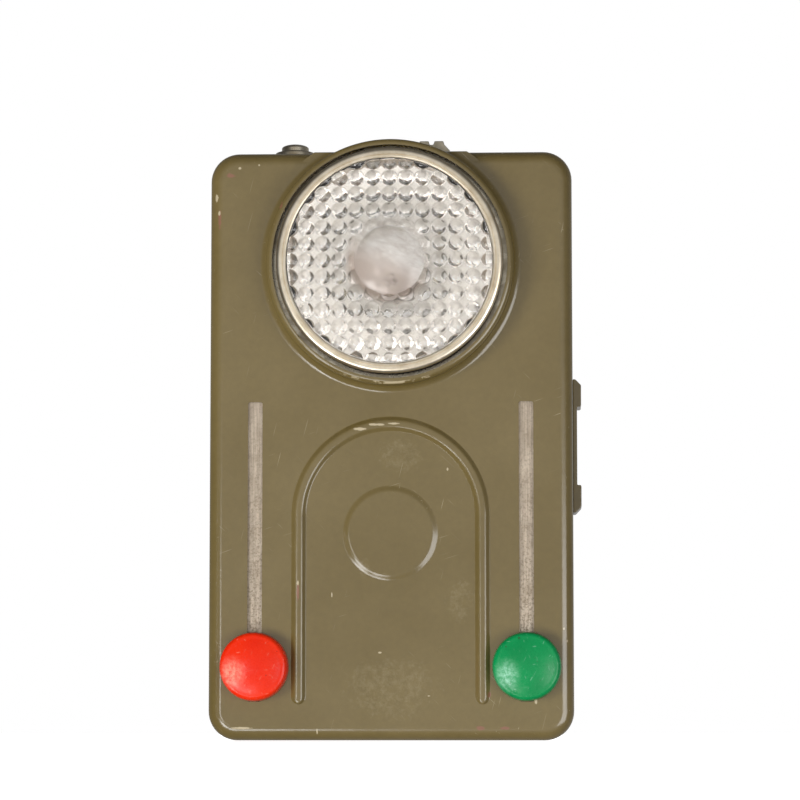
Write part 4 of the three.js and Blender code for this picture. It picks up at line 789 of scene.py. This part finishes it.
def hairlines(tree, spot, turns, width, length, share):
    """Fine scratches in a few directions; share is how high the noise must reach to leave one."""
    total = 0.0
    for i, turn in enumerate(turns):
        way = add(tree, "Mapping", {0: spot, 1: (31.0 * i, 0, 17.0 * i), 2: (0, turn, 0),
                                    3: (1, 1, length / width)}, vector_type="TEXTURE")
        line = add(tree, "TexNoise", {"Vector": way, "Scale": 1 / width, "Detail": 1})
        cut_in = add(tree, "MapRange", {0: line, 1: share, 2: share + 0.05})
        total = add(tree, "Math", {0: total, 1: cut_in}, operation="MAXIMUM")
    return total


def chipped(tree, spot, places):
    """Small ragged patches at places on the face: x, y, z, half width and half height."""
    ragged = add(tree, "TexNoise", {"Vector": spot, "Scale": 1 / 0.8, "Detail": 3})
    push = add(tree, "MapRange", {0: ragged, 3: -0.7, 4: 0.7})
    total = 0.0
    for x, y, z, wide, high in places:
        away = add(tree, "VectorMath", {0: spot, 1: (x, y, z)}, operation="SUBTRACT")
        away = add(tree, "VectorMath", {0: away, 1: (1 / wide, 1 / 3, 1 / high)}, operation="MULTIPLY")
        away = add(tree, "VectorMath", {0: away}, operation="LENGTH").outputs["Value"]
        away = add(tree, "Math", {0: away, 1: push}, operation="ADD")
        patch = add(tree, "MapRange", {0: away, 1: 0.75, 2: 1.15, 3: 1.0, 4: 0.0})
        total = add(tree, "Math", {0: total, 1: patch}, operation="MAXIMUM")
    return total


# Marks on the paint: x, y, z, half width, half height
PRIMER_CHIPS = [
    (-23.4, -18.5, 114.5, 0.5, 1.0), (-19.7, -15.8, 31.5, 0.3, 1.8), (19.2, -14.6, 2.6, 0.9, 0.45),
    (24.3, -14.6, 2.6, 0.9, 0.35), (-34.6, -14.8, 121.4, 0.9, 0.5), (-36.9, -14.0, 112.0, 0.35, 2.2),
    (21.0, -15.8, 9.6, 0.4, 0.6), (31.5, -15.0, 19.5, 0.35, 0.3)]
BARE_CHIPS_AND_CREST_HIGHLIGHTS = [
    (-32.6, -15.0, 123.0, 0.28, 0.28), (-37.6, -13.4, 116.5, 0.35, 0.9), (-37.0, -13.8, 113.3, 0.3, 0.5),
    (-12.5, -15.0, 30.9, 0.14, 0.5), (-19.7, -15.8, 33.4, 0.22, 0.5), (-31.4, -14.6, 2.6, 2.1, 0.2),
    (-15.6, -14.4, 1.9, 0.15, 0.6), (36.9, -14.0, 23.6, 0.2, 0.35), (37.6, -13.2, 21.0, 0.15, 0.3),
    (30.9, -15.0, 8.2, 0.25, 0.5), (-2.2, -15.0, 18.6, 0.3, 0.2), (12.2, -15.0, 57.6, 0.2, 0.35),
    # These three on the arch's crest are rubbed paint that also stands in for a painted highlight there.
    (-6.6, -15.8, 66.3, 1.3, 0.3), (-3.0, -15.8, 67.2, 1.6, 0.25), (0.8, -15.8, 67.4, 1.2, 0.2),
    (-28.4, -15.0, 123.6, 0.2, 0.2), (8.2, -15.0, 9.4, 0.3, 0.12)]
SCUFFS = [
    (2.1, -15.0, 60.7, 4.2, 3.4), (14.8, -15.0, 29.7, 2.6, 4.2), (-3.6, -15.0, 14.2, 3.6, 1.3),
    (-5.6, -15.0, 36.8, 1.2, 2.0), (0.5, -15.0, 11.0, 9.0, 6.0)]


def olive_enamel():
    # Stoving enamel sprayed on pressed steel: olive drab, fairly glossy, with an orange peel of about 1 mm,
    # hairline scratches, dull scuffs, chips that show red primer or bare sheet, and pale marks on the arch's
    # crest that are rubbed paint and painted highlight.
    material, tree, spot = blank("olive_enamel")
    cloud = add(tree, "TexNoise", {"Vector": spot, "Scale": 1 / 28, "Detail": 3})
    base = add(tree, "ValToRGB", {0: cloud}, stops=[(0.35, "#65562F"), (0.65, "#6D5E38")])
    fine = add(tree, "TexNoise", {"Vector": spot, "Scale": 1 / 1.4, "Detail": 4, "Roughness": 0.7})
    fine = add(tree, "MapRange", {0: fine, 1: 0.3, 2: 0.7, 3: 0.45, 4: 0.55})
    base = add(tree, "Mix", {0: 0.6, 6: base, 7: fine}, data_type="RGBA", blend_type="OVERLAY")
    dull = chipped(tree, spot, SCUFFS)
    dust = add(tree, "TexNoise", {"Vector": spot, "Scale": 1 / 1.2, "Detail": 6, "Roughness": 0.8})
    dust = add(tree, "MapRange", {0: dust, 1: 0.45, 2: 0.7, 3: 0.0, 4: 0.17})
    dull = add(tree, "Math", {0: dull, 1: dust}, operation="MULTIPLY")
    base = add(tree, "Mix", {0: dull, 6: base, 7: "#B6A988"}, data_type="RGBA")
    hairs = hairlines(tree, spot, (0.25, -0.8, 1.25), 0.35, 8, 0.74)
    worn = add(tree, "TexNoise", {"Vector": spot, "Scale": 1 / 16, "Detail": 2})
    worn = add(tree, "MapRange", {0: worn, 1: 0.48, 2: 0.66, 3: 0.0, 4: 0.5})
    hairs = add(tree, "Math", {0: hairs, 1: worn}, operation="MULTIPLY")
    base = add(tree, "Mix", {0: hairs, 6: base, 7: "#B9AC8C"}, data_type="RGBA")
    primer = chipped(tree, spot, PRIMER_CHIPS)
    base = add(tree, "Mix", {0: primer, 6: base, 7: "#805A44"}, data_type="RGBA")
    # Pale marks: chips, and on the arch's crest rubbed paint that is also a painted highlight.
    bare = chipped(tree, spot, BARE_CHIPS_AND_CREST_HIGHLIGHTS)
    rub = lip_rub(tree, spot)
    bare = add(tree, "Math", {0: bare, 1: rub}, operation="MAXIMUM")
    base = add(tree, "Mix", {0: bare, 6: base, 7: "#B5A788"}, data_type="RGBA")
    patches = add(tree, "TexNoise", {"Vector": spot, "Scale": 1 / 9, "Detail": 4, "Roughness": 0.6})
    rough = add(tree, "MapRange", {0: patches, 1: 0.3, 2: 0.7, 3: 0.15, 4: 0.2})
    rough = add(tree, "Math", {0: dull, 1: 0.5, 2: rough}, operation="MULTIPLY_ADD")
    peel = add(tree, "TexNoise", {"Vector": spot, "Scale": 1 / 1.3, "Detail": 1})
    height = add(tree, "Math", {0: bare, 1: -0.6, 2: peel}, operation="MULTIPLY_ADD")
    relief = add(tree, "Bump", {"Height": height, "Distance": 0.03 * MM, "Strength": 0.35})
    shader = add(tree, "BsdfPrincipled", {"Base Color": base, "Roughness": rough, "IOR": 1.52,
                                          "Specular IOR Level": 0.75, "Normal": relief})
    add(tree, "OutputMaterial", {"Surface": shader})
    return material


def lip_rub(tree, spot):
    """Paint rubbed off in specks along the lowest part of the collar's lip."""
    away = add(tree, "VectorMath", {0: spot, 1: (0, 0, LENS_Z)}, operation="SUBTRACT")
    away = add(tree, "VectorMath", {0: away, 1: (1, 0, 1)}, operation="MULTIPLY")
    reach = add(tree, "VectorMath", {0: away}, operation="LENGTH").outputs["Value"]
    lip = add(tree, "Math", {0: reach, 1: COLLAR_RADIUS - 0.35}, operation="SUBTRACT")
    lip = add(tree, "MapRange", {0: lip, 1: -0.3, 2: 0.3, 3: -1.0, 4: 1.0}, clamp=False)
    lip = add(tree, "Math", {0: lip}, operation="ABSOLUTE")
    lip = add(tree, "MapRange", {0: lip, 1: 0.5, 2: 1.0, 3: 1.0, 4: 0.0})
    high = add(tree, "SeparateXYZ", {0: spot}).outputs["Z"]
    lowest = LENS_Z - COLLAR_RADIUS
    low = add(tree, "MapRange", {0: high, 1: lowest + 2.6, 2: lowest + 1.2})
    broken = add(tree, "TexNoise", {"Vector": spot, "Scale": 1 / 2.2, "Detail": 4, "Roughness": 0.6})
    broken = add(tree, "MapRange", {0: broken, 1: 0.48, 2: 0.53})
    both = add(tree, "Math", {0: lip, 1: low}, operation="MULTIPLY")
    return add(tree, "Math", {0: both, 1: broken}, operation="MULTIPLY")


def nickel_plate():
    # Nickel plate, buffed and a little yellowed: warm white metal with soft wear of about 3 mm.
    material, tree, spot = blank("buffed_nickel_plate")
    wear = add(tree, "TexNoise", {"Vector": spot, "Scale": 1 / 3, "Detail": 4, "Roughness": 0.6})
    base = add(tree, "ValToRGB", {0: wear}, stops=[(0.3, "#A3967E"), (0.6, "#CFC6B2")])
    rough = add(tree, "MapRange", {0: wear, 1: 0.3, 2: 0.7, 3: 0.36, 4: 0.2})
    fine = add(tree, "TexNoise", {"Vector": spot, "Scale": 1 / 0.4, "Detail": 3})
    relief = add(tree, "Bump", {"Height": fine, "Distance": 0.01 * MM, "Strength": 0.3})
    shader = add(tree, "BsdfPrincipled", {"Base Color": base, "Roughness": rough, "Metallic": 1.0,
                                          "Normal": relief})
    add(tree, "OutputMaterial", {"Surface": shader})
    return material


def ring_nickel():
    # Nickel plate turned on brass: satin champagne face with turning lines every 0.4 mm, drawn coarser than
    # the real ones so that they show; behind its front the skirt and knurl are painted dark by depth,
    # painted shade in the gap, mottled with grime and rust-stain colours.
    material, tree, spot = blank("turned_nickel_ring")
    wear = add(tree, "TexNoise", {"Vector": spot, "Scale": 1 / 4, "Detail": 5, "Roughness": 0.65})
    base = add(tree, "ValToRGB", {0: wear}, stops=[(0.3, "#D6C6AB"), (0.62, "#F3E7D1")])
    stain = add(tree, "TexNoise", {"Vector": spot, "Scale": 1 / 2.2, "Detail": 4})
    grime_and_shade = add(tree, "ValToRGB", {0: stain}, stops=[(0.4, "#2A231A"), (0.56, "#4A3F30"), (0.68, "#7A4433")])
    # Behind the ring's front the colour turns dark by depth: painted shade in the gap, mottled with grime
    # and rust-stain colours.
    depth = add(tree, "SeparateXYZ", {0: spot}).outputs["Y"]
    skirt = add(tree, "MapRange", {0: depth, 1: RING_FRONT_Y + 0.75, 2: RING_FRONT_Y + 1.15})
    colour = add(tree, "Mix", {0: skirt, 6: base, 7: grime_and_shade}, data_type="RGBA")
    bare = add(tree, "MapRange", {0: skirt, 3: 1.0, 4: 0.35})
    rough = add(tree, "MapRange", {0: skirt, 3: 0.3, 4: 0.6})
    centred = add(tree, "VectorMath", {0: spot, 1: (0, 0, LENS_Z)}, operation="SUBTRACT")
    lines = add(tree, "TexWave", {"Vector": centred, "Scale": 0.785}, wave_type="RINGS", rings_direction="Y")
    relief = add(tree, "Bump", {"Height": lines, "Distance": 0.01 * MM, "Strength": 0.35})
    shader = add(tree, "BsdfPrincipled", {"Base Color": colour, "Roughness": rough, "Metallic": bare,
                                          "Normal": relief})
    add(tree, "OutputMaterial", {"Surface": shader})
    return material


def zinc_plate():
    # Zinc-plated steel sheet: grey with a warm white bloom, stippled brown where it has worn through, and
    # scratched along its travel in lines about 0.3 mm wide.
    material, tree, spot = blank("zinc_plated_sheet")
    bloom = add(tree, "TexNoise", {"Vector": spot, "Scale": 1 / 3, "Detail": 4, "Roughness": 0.6})
    base = add(tree, "ValToRGB", {0: bloom}, stops=[(0.3, "#AE9F8C"), (0.7, "#C9BAA8")])
    long = add(tree, "Mapping", {0: spot, 3: (1, 1, 0.04)})
    rub = add(tree, "TexNoise", {"Vector": long, "Scale": 1 / 0.35, "Detail": 3, "Roughness": 0.6})
    rub = add(tree, "ValToRGB", {0: rub}, stops=[(0.35, 0.38), (0.65, 0.62)])
    base = add(tree, "Mix", {0: 0.8, 6: base, 7: rub}, data_type="RGBA", blend_type="OVERLAY")
    stipple = add(tree, "TexNoise", {"Vector": spot, "Scale": 1 / 0.45, "Detail": 4, "Roughness": 0.7})
    stipple = add(tree, "MapRange", {0: stipple, 1: 0.48, 2: 0.62, 3: 0.0, 4: 0.8})
    # The knobs stand low most of the time, so the strips are worn most just above them.
    high = add(tree, "SeparateXYZ", {0: spot}).outputs["Z"]
    low = add(tree, "MapRange", {0: high, 1: 66, 2: 24, 3: 0.35, 4: 1.0})
    stipple = add(tree, "Math", {0: stipple, 1: low}, operation="MULTIPLY")
    base = add(tree, "Mix", {0: stipple, 6: base, 7: "#6F614C"}, data_type="RGBA")
    bare = add(tree, "MapRange", {0: stipple, 3: 0.75, 4: 0.3})
    relief = add(tree, "Bump", {"Height": stipple, "Distance": -0.03 * MM, "Strength": 0.5})
    shader = add(tree, "BsdfPrincipled", {"Base Color": base, "Roughness": 0.48, "Metallic": bare,
                                          "Normal": relief})
    add(tree, "OutputMaterial", {"Surface": shader})
    return material


def mottled(name, size, stops, shader, detail=3, grain=0.5, rough=None, relief=None, along=None):
    """A material from one noise, its size in millimetres. It colours the surface between the stops. Where
    given it also sets the roughness (from, to, low, high) and a relief (depth, strength), or is drawn out
    along Z."""
    material, tree, spot = blank(name)
    if along:
        spot = add(tree, "Mapping", {0: spot, 3: (1, 1, along)})
    noise = add(tree, "TexNoise", {"Vector": spot, "Scale": 1 / size, "Detail": detail, "Roughness": grain})
    inputs = {"Base Color": add(tree, "ValToRGB", {0: noise}, stops=stops), **shader}
    if rough:
        inputs["Roughness"] = add(tree, "MapRange", {0: noise, **dict(enumerate(rough, 1))})
    if relief:
        inputs["Normal"] = add(tree, "Bump", {"Height": noise, "Distance": relief[0] * MM,
                                              "Strength": relief[1]})
    add(tree, "OutputMaterial", {"Surface": add(tree, "BsdfPrincipled", inputs)})
    return material


def tarnished_metal(name, dark, light):
    # Stamped strip with a thin tarnish in blotches of about 3 mm.
    return mottled(name, 3, [(0.3, dark), (0.65, light)], METAL, detail=4, grain=0.6,
                   rough=(0.3, 0.65, 0.45, 0.28))


def pressed_glass():
    # Pressed soda glass, fire-polished: clear, its plain eye ground dull by years of wiping, and tinted with
    # a streaky painted reflection that is paler towards the upper right.
    material, tree, spot = blank("pressed_soda_glass")
    centred = add(tree, "VectorMath", {0: spot, 1: (0, LENS_FRONT_Y, LENS_Z)}, operation="SUBTRACT")
    reach = add(tree, "VectorMath", {0: centred}, operation="LENGTH").outputs["Value"]
    eye = add(tree, "MapRange", {0: reach, 1: BULLSEYE_RADIUS - 1.4, 2: BULLSEYE_RADIUS + 2.8,
                                 3: 0.2, 4: 0.02})
    smear = add(tree, "TexNoise", {"Vector": spot, "Scale": 1 / 4, "Detail": 5, "Roughness": 0.7})
    rough = add(tree, "MapRange", {0: smear, 1: 0.3, 2: 0.7, 3: 0.7, 4: 1.3})
    rough = add(tree, "Math", {0: eye, 1: rough}, operation="MULTIPLY")
    streak = add(tree, "Mapping", {0: centred, 2: (0, 0.45, 0), 3: (2.6, 1, 1)}, vector_type="TEXTURE")
    streak = add(tree, "TexNoise", {"Vector": streak, "Scale": 1 / 1.3, "Detail": 5, "Roughness": 0.7})
    smudge = chipped(tree, spot, [(0.4, LENS_FRONT_Y - 1.5, 97.6, 1.7, 1.3)])
    dirt = add(tree, "MapRange", {0: streak, 1: 0.42, 2: 0.62})
    dirt = add(tree, "Math", {0: smudge, 1: dirt}, operation="MULTIPLY")
    # The eye is tinted in pale and grey streaks and greyer towards its bottom: a painted reflection of light
    # on its scratches, and painted shade below.
    clear = add(tree, "ValToRGB", {0: streak}, stops=[(0.38, "#E3DDD9"), (0.56, "#FDFCFB")])
    painted_light_slant = add(tree, "VectorMath", {0: centred, 1: (0.05, 0, 0.12)}, operation="DOT_PRODUCT")
    lower = add(tree, "MapRange", {0: painted_light_slant.outputs["Value"], 1: -0.35, 2: 0.25, 3: 1.0, 4: 0.0})
    clear = add(tree, "Mix", {0: lower, 6: clear, 7: "#CDC0B8"}, data_type="RGBA")
    clear = add(tree, "Mix", {0: add(tree, "MapRange", {0: eye, 1: 0.02, 2: 0.1}), 6: "#FDFCFB", 7: clear},
                data_type="RGBA")
    clear = add(tree, "Mix", {0: dirt, 6: clear, 7: "#8E8780"}, data_type="RGBA")
    shader = add(tree, "BsdfPrincipled", {"Base Color": clear, "Roughness": rough, "IOR": 1.52,
                                          "Transmission Weight": 1.0})
    add(tree, "OutputMaterial", {"Surface": shader})
    return material


def bulb_glass():
    # Blown bulb glass, etched inside: milky.
    material, tree, spot = blank("etched_bulb_glass")
    etch = add(tree, "TexNoise", {"Vector": spot, "Scale": 1 / 2, "Detail": 3})
    rough = add(tree, "MapRange", {0: etch, 1: 0.3, 2: 0.7, 3: 0.3, 4: 0.42})
    shader = add(tree, "BsdfPrincipled", {"Base Color": "#F7F5F2", "Roughness": rough, "IOR": 1.5,
                                          "Transmission Weight": 0.8})
    add(tree, "OutputMaterial", {"Surface": shader})
    return material


def knob_moulding(name, low, high, scratch_and_highlight, highlight_centre):
    # Moulded phenolic knob: even colour, with hair scratches and a few deeper pits, and on one side of the
    # face a pale flecked patch that is a painted highlight.
    material, tree, spot = blank(name)
    cloud = add(tree, "TexNoise", {"Vector": spot, "Scale": 1 / 6, "Detail": 3})
    base = add(tree, "ValToRGB", {0: cloud}, stops=[(0.3, low), (0.7, high)])
    hairs = hairlines(tree, spot, (0.5, -0.3, 1.4), 0.3, 4, 0.72)
    hairs = add(tree, "Math", {0: hairs, 1: 0.3}, operation="MULTIPLY")
    base = add(tree, "Mix", {0: hairs, 6: base, 7: scratch_and_highlight}, data_type="RGBA")
    highlight_flecks = add(tree, "TexNoise", {"Vector": spot, "Scale": 1 / 0.8, "Detail": 5, "Roughness": 0.75})
    # A pale flecked patch round the given centre: painted highlight.
    away = add(tree, "VectorMath", {0: spot, 1: highlight_centre}, operation="SUBTRACT")
    away = add(tree, "VectorMath", {0: away, 1: (1 / 3.4, 1 / 4, 1 / 4.4)}, operation="MULTIPLY")
    away = add(tree, "VectorMath", {0: away}, operation="LENGTH").outputs["Value"]
    painted_highlight = add(tree, "MapRange", {0: away, 1: 0.1, 2: 1.0, 3: 0.85, 4: 0.0}, interpolation_type="SMOOTHSTEP")
    highlight_flecks = add(tree, "MapRange", {0: highlight_flecks, 1: 0.38, 2: 0.66, 3: 0.15, 4: 1.0})
    painted_highlight = add(tree, "Math", {0: painted_highlight, 1: highlight_flecks}, operation="MULTIPLY")
    base = add(tree, "Mix", {0: painted_highlight, 6: base, 7: scratch_and_highlight}, data_type="RGBA")
    pits = add(tree, "TexNoise", {"Vector": spot, "Scale": 1 / 0.9, "Detail": 2})
    pits = add(tree, "MapRange", {0: pits, 1: 0.72, 2: 0.76, 3: 0.0, 4: 0.7})
    base = add(tree, "Mix", {0: pits, 6: base, 7: "#2E0D08"}, data_type="RGBA")
    worn = add(tree, "TexNoise", {"Vector": spot, "Scale": 1 / 1.2, "Detail": 5, "Roughness": 0.7})
    rough = add(tree, "MapRange", {0: worn, 1: 0.35, 2: 0.65, 3: 0.2, 4: 0.36})
    height = add(tree, "Math", {0: pits, 1: -2.0, 2: worn}, operation="MULTIPLY_ADD")
    relief = add(tree, "Bump", {"Height": height, "Distance": 0.04 * MM, "Strength": 0.4})
    shader = add(tree, "BsdfPrincipled", {"Base Color": base, "Roughness": rough, "IOR": 1.55,
                                          "Specular IOR Level": 0.28, "Normal": relief})
    add(tree, "OutputMaterial", {"Surface": shader})
    return material


def filter_sheet(name, low, high):
    # Dyed clear sheet, calendered: smooth on both sides, its dye a little uneven.
    return mottled(name, 8, [(0.3, low), (0.7, high)],
                   {"Roughness": 0.15, "IOR": 1.49, "Specular IOR Level": 0.15, "Transmission Weight": 0.6},
                   detail=2)


METAL = {"Metallic": 1.0}
finishes = {
    "olive_paint": olive_enamel(),
    "nickel": nickel_plate(),
    "zinc_steel": zinc_plate(),
    # Rolled spring steel: bright grey with faint rolling lines.
    "spring_steel": mottled("rolled_spring_steel", 0.5, [(0.3, "#8C8A84"), (0.7, "#ADABA5")], METAL,
                            rough=(0.3, 0.7, 0.36, 0.26), along=0.1),
    "brass": tarnished_metal("stamped_brass", "#8C6A32", "#C9A45A"),
    "lens_glass": pressed_glass(),
    "bulb_glass": bulb_glass(),
    # Spun brass, polished and silvered: bright, with a light haze.
    "mirror": mottled("silvered_reflector", 5, [(0.3, "#EEEBE6"), (0.7, "#F8F6F3")], METAL,
                      rough=(0.3, 0.7, 0.14, 0.07)),
    # Moulded black rubber: matt, with a dusty bloom.
    "rubber": mottled("gasket_rubber", 2, [(0.3, "#181614"), (0.7, "#272523")], {"Roughness": 0.75},
                      detail=4),
    # The pale colour serves both the scratches and a painted highlight; the place after it is that
    # highlight's centre, on the knob's lower left.
    "red_plastic": knob_moulding("red_phenolic", "#DB2201", "#E42D04", "#FFAE96",
                                  (-SLOT_SPREAD - 4.4, FACE_Y - KNOB_THICK, KNOB_REST - 1.4)),
    "green_plastic": knob_moulding("green_phenolic", "#007F43", "#008C4B", "#A5DCBF",
                                    (SLOT_SPREAD - 4.2, FACE_Y - KNOB_THICK, KNOB_REST - 2.0)),
    "red_film": filter_sheet("red_filter_sheet", "#D00E08", "#E81A12"),
    "green_film": filter_sheet("green_filter_sheet", "#008F38", "#08A84C"),
    # Phenolic paper board: brown, matt, with a fleck of fibre about 1 mm long.
    "board": mottled("hard_paper", 1.2, [(0.3, "#5A2F18"), (0.7, "#75452A")], {"Roughness": 0.55},
                     detail=5, grain=0.65, relief=(0.03, 0.4)),
    # Printed battery card: blue, scuffed paler in patches of about 5 mm.
    "battery_wrap": mottled("battery_card", 5, [(0.3, "#24407E"), (0.62, "#2F4F92"), (0.72, "#6F86B4")],
                            {"Roughness": 0.6}, detail=6, grain=0.7, relief=(0.04, 0.4)),
}
ring_finish = ring_nickel()
switch_finish = tarnished_metal("worn_zinc_casting", "#8A8270", "#B9B09C")
tinned = tarnished_metal("tinned_brass", "#8F8A82", "#BDB8AE")

slot_of = {part["node"]: part["material_slot"] for part in frame["record"]["subparts"]}


def fit(piece, body, slot, *nodes, skin=None):
    """Dresses a new piece, lets it ride on its body and stand for its nodes."""
    piece.data.materials.clear()
    piece.data.materials.append(skin or finishes[slot])
    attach(piece, body)
    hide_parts(*nodes)
    return piece


for name, node in frame["nodes"].items():
    for slot in node.material_slots:
        slot.material = tinned if name in ("bulb_base", "bulb_socket") else finishes[slot_of[name]]

fit(front_housing(), "case", "olive_paint", "front_housing")
fit(rear_cover(), "cover", "olive_paint", "rear_cover")
fit(hinge_leaf("leaf_on_case", 0, (HINGE_Y - 8, HINGE_Y)), "case", "zinc_steel", "hinge_leaf_fixed")
fit(hinge_leaf("leaf_on_cover", 1, (HINGE_Y, REAR_Y - BEND_RADIUS)), "cover", "zinc_steel",
    "hinge_leaf_moving")
fit(hinge_pin(), "case", "zinc_steel", "hinge_pin")
fit(catch_slide(), "catch", "olive_paint", "catch_slide")
fit(lens_ring(), "ring", "nickel", "lens_ring", skin=ring_finish)
glass = fit(pressed_lens(), "lens_holder", "lens_glass", "lens")
glass.visible_shadow = False
fit(reflector(), "case", "mirror", "reflector")
envelope = fit(bulb(), "case", "bulb_glass", "bulb_glass")
envelope.visible_shadow = False
fit(filter_knob("red_button", -1), "red_slide", "red_plastic", "red_knob")
fit(filter_knob("green_button", 1), "green_slide", "green_plastic", "green_knob")
fit(button_plunger(), "button", "nickel", "button_plunger")
fit(button_bush(), "case", "nickel", "button_bush")
fit(button_nut(), "case", "nickel", "button_nut")
coil = fit(return_spring(), "case", "spring_steel", "button_spring")
# The coil shortens by the button's travel of 1.5 mm out of its own 2.4 mm.
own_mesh(coil)
fit(switch_knob(), "switch", "nickel", "switch_knob", skin=switch_finish)
fit(belt_clip(), "cover", "zinc_steel", "belt_clip")
fit(clip_rivet("clip_rivet_low", CLIP_RIVETS[0]), "cover", "zinc_steel", "clip_rivet_lower")
fit(clip_rivet("clip_rivet_high", CLIP_RIVETS[1]), "cover", "zinc_steel", "clip_rivet_upper")


# Stage, light and camera

def studio_floor():
    floor = new_mesh("floor", [(-3000, -3000, -0.05), (3000, -3000, -0.05), (3000, 3000, -0.05),
                               (-3000, 3000, -0.05)], [(0, 1, 2, 3)])
    material, tree, _ = blank("studio_paper")
    shader = add(tree, "BsdfPrincipled", {"Base Color": "#F0F0EE", "Roughness": 0.9,
                                          "Emission Color": "#FFFFFF", "Emission Strength": 0.9})
    add(tree, "OutputMaterial", {"Surface": shader})
    floor.data.materials.append(material)
    # The paper is a light table: the lamps below it shine through.
    floor.visible_shadow = floor.visible_glossy = floor.visible_diffuse = False


def soft_light(name, azimuth, elevation, distance, size, radiance, gloss=True):
    """A soft box at an angle from the lens, its power from its size and how bright its face is."""
    turn, rise = math.radians(azimuth), math.radians(elevation)
    way = Vector((math.sin(turn) * math.cos(rise), -math.cos(turn) * math.cos(rise), math.sin(rise)))
    lamp = bpy.data.lights.new(name, "AREA")
    lamp.shape, lamp.size, lamp.size_y = "RECTANGLE", size[0] * MM, size[1] * MM
    lamp.energy = radiance * math.pi * lamp.size * lamp.size_y
    light = place(name, lamp)
    light.location = (Vector((0, 0, MID_Z)) + way * distance) * MM
    light.rotation_euler = (-way).to_track_quat("-Z", "Y").to_euler()
    light.visible_transmission = light.visible_camera = False
    light.visible_glossy = gloss


def studio_camera():
    azimuth, elevation, distance = math.radians(2.56), math.radians(-5.6), 736
    target = Vector((1.38, 0, 74.0))
    back = Vector((math.sin(azimuth) * math.cos(elevation), -math.cos(azimuth) * math.cos(elevation),
                   math.sin(elevation)))
    lens = bpy.data.cameras.new("camera")
    lens.lens, lens.sensor_width = 151.5, 36
    lens.clip_start, lens.clip_end = 0.01, 20
    camera = place("camera", lens)
    camera.location = (target + back * distance) * MM
    camera.rotation_euler = (-back).to_track_quat("-Z", "Y").to_euler()
    bpy.context.scene.camera = camera


def studio_world():
    """Pale room, brightest ahead of the face, dimmer at the sides, on the left, behind and overhead. The
    lens refracts a room of its own, and the camera sees white paper."""
    world = bpy.data.worlds.new("studio")
    world.use_nodes = True
    tree = world.node_tree
    tree.nodes.clear()
    around = add(tree, "TexCoord").outputs["Generated"]
    way = add(tree, "SeparateXYZ", {0: around})
    x, y, z = (add(tree, "MapRange", {0: way.outputs[i], 1: -1.0, 2: 1.0}) for i in range(3))
    depth = add(tree, "ValToRGB", {0: y}, stops=[(0.0, 0.92), (0.1, 0.72), (0.25, 0.27), (0.5, 0.22),
                                                 (0.8, 0.35), (1.0, 0.5)])
    side = add(tree, "ValToRGB", {0: x}, stops=[(0.0, 0.45), (0.5, 0.85), (0.85, 1.0)])
    high = add(tree, "ValToRGB", {0: z}, stops=[(0.0, 0.9), (0.5, 1.0), (0.85, 0.55)])
    studio = add(tree, "Mix", {0: 1.0, 6: depth, 7: side}, data_type="RGBA", blend_type="MULTIPLY")
    studio = add(tree, "Mix", {0: 1.0, 6: studio, 7: high}, data_type="RGBA", blend_type="MULTIPLY")
    ahead = add(tree, "ValToRGB", {0: y}, stops=[(0.0, 1.0), (0.075, 0.95), (0.13, 0.42), (0.24, 0.08),
                                                 (0.5, 0.03)])
    # Windows and dark walls of the room, which every dome of the lens shows small.
    room = add(tree, "TexNoise", {"Vector": around, "Scale": 3.2, "Detail": 2})
    room = add(tree, "ValToRGB", {0: room}, stops=[(0.42, 0.08), (0.49, 0.85), (0.57, 1.0)])
    ahead = add(tree, "Mix", {0: 1.0, 6: ahead, 7: room}, data_type="RGBA", blend_type="MULTIPLY")
    path = add(tree, "LightPath")
    # The room adds only a weak even light, so that the lamp on the left throws clear shadows.
    even = add(tree, "MapRange", {0: path.outputs["Is Diffuse Ray"], 3: 1.0, 4: 0.5})
    light = add(tree, "Background", {0: studio, 1: even})
    seen = add(tree, "Background", {0: ahead, 1: 4.1})
    paper = add(tree, "Background", {0: "#FFFFFF", 1: 1.0})
    inside = add(tree, "MixShader", {0: path.outputs["Is Transmission Ray"], 1: light, 2: seen})
    both = add(tree, "MixShader", {0: path.outputs["Is Camera Ray"], 1: inside, 2: paper})
    add(tree, "OutputWorld", {0: both})
    bpy.context.scene.world = world
    bpy.context.scene.view_settings.view_transform = "Standard"


studio_floor()
soft_light("low_left", -30, -25, 950, (240, 240), 8.5)
soft_light("near_left", -18, -5, 950, (120, 200), 6)
soft_light("below", -14, -33, 950, (230, 190), 6.5)
soft_light("right", 42, -14, 620, (380, 360), 4)
soft_light("left_fill", -48, -6, 950, (340, 340), 17, gloss=False)
soft_light("behind", 165, 38, 1000, (500, 500), 10, gloss=False)
studio_world()
studio_camera()
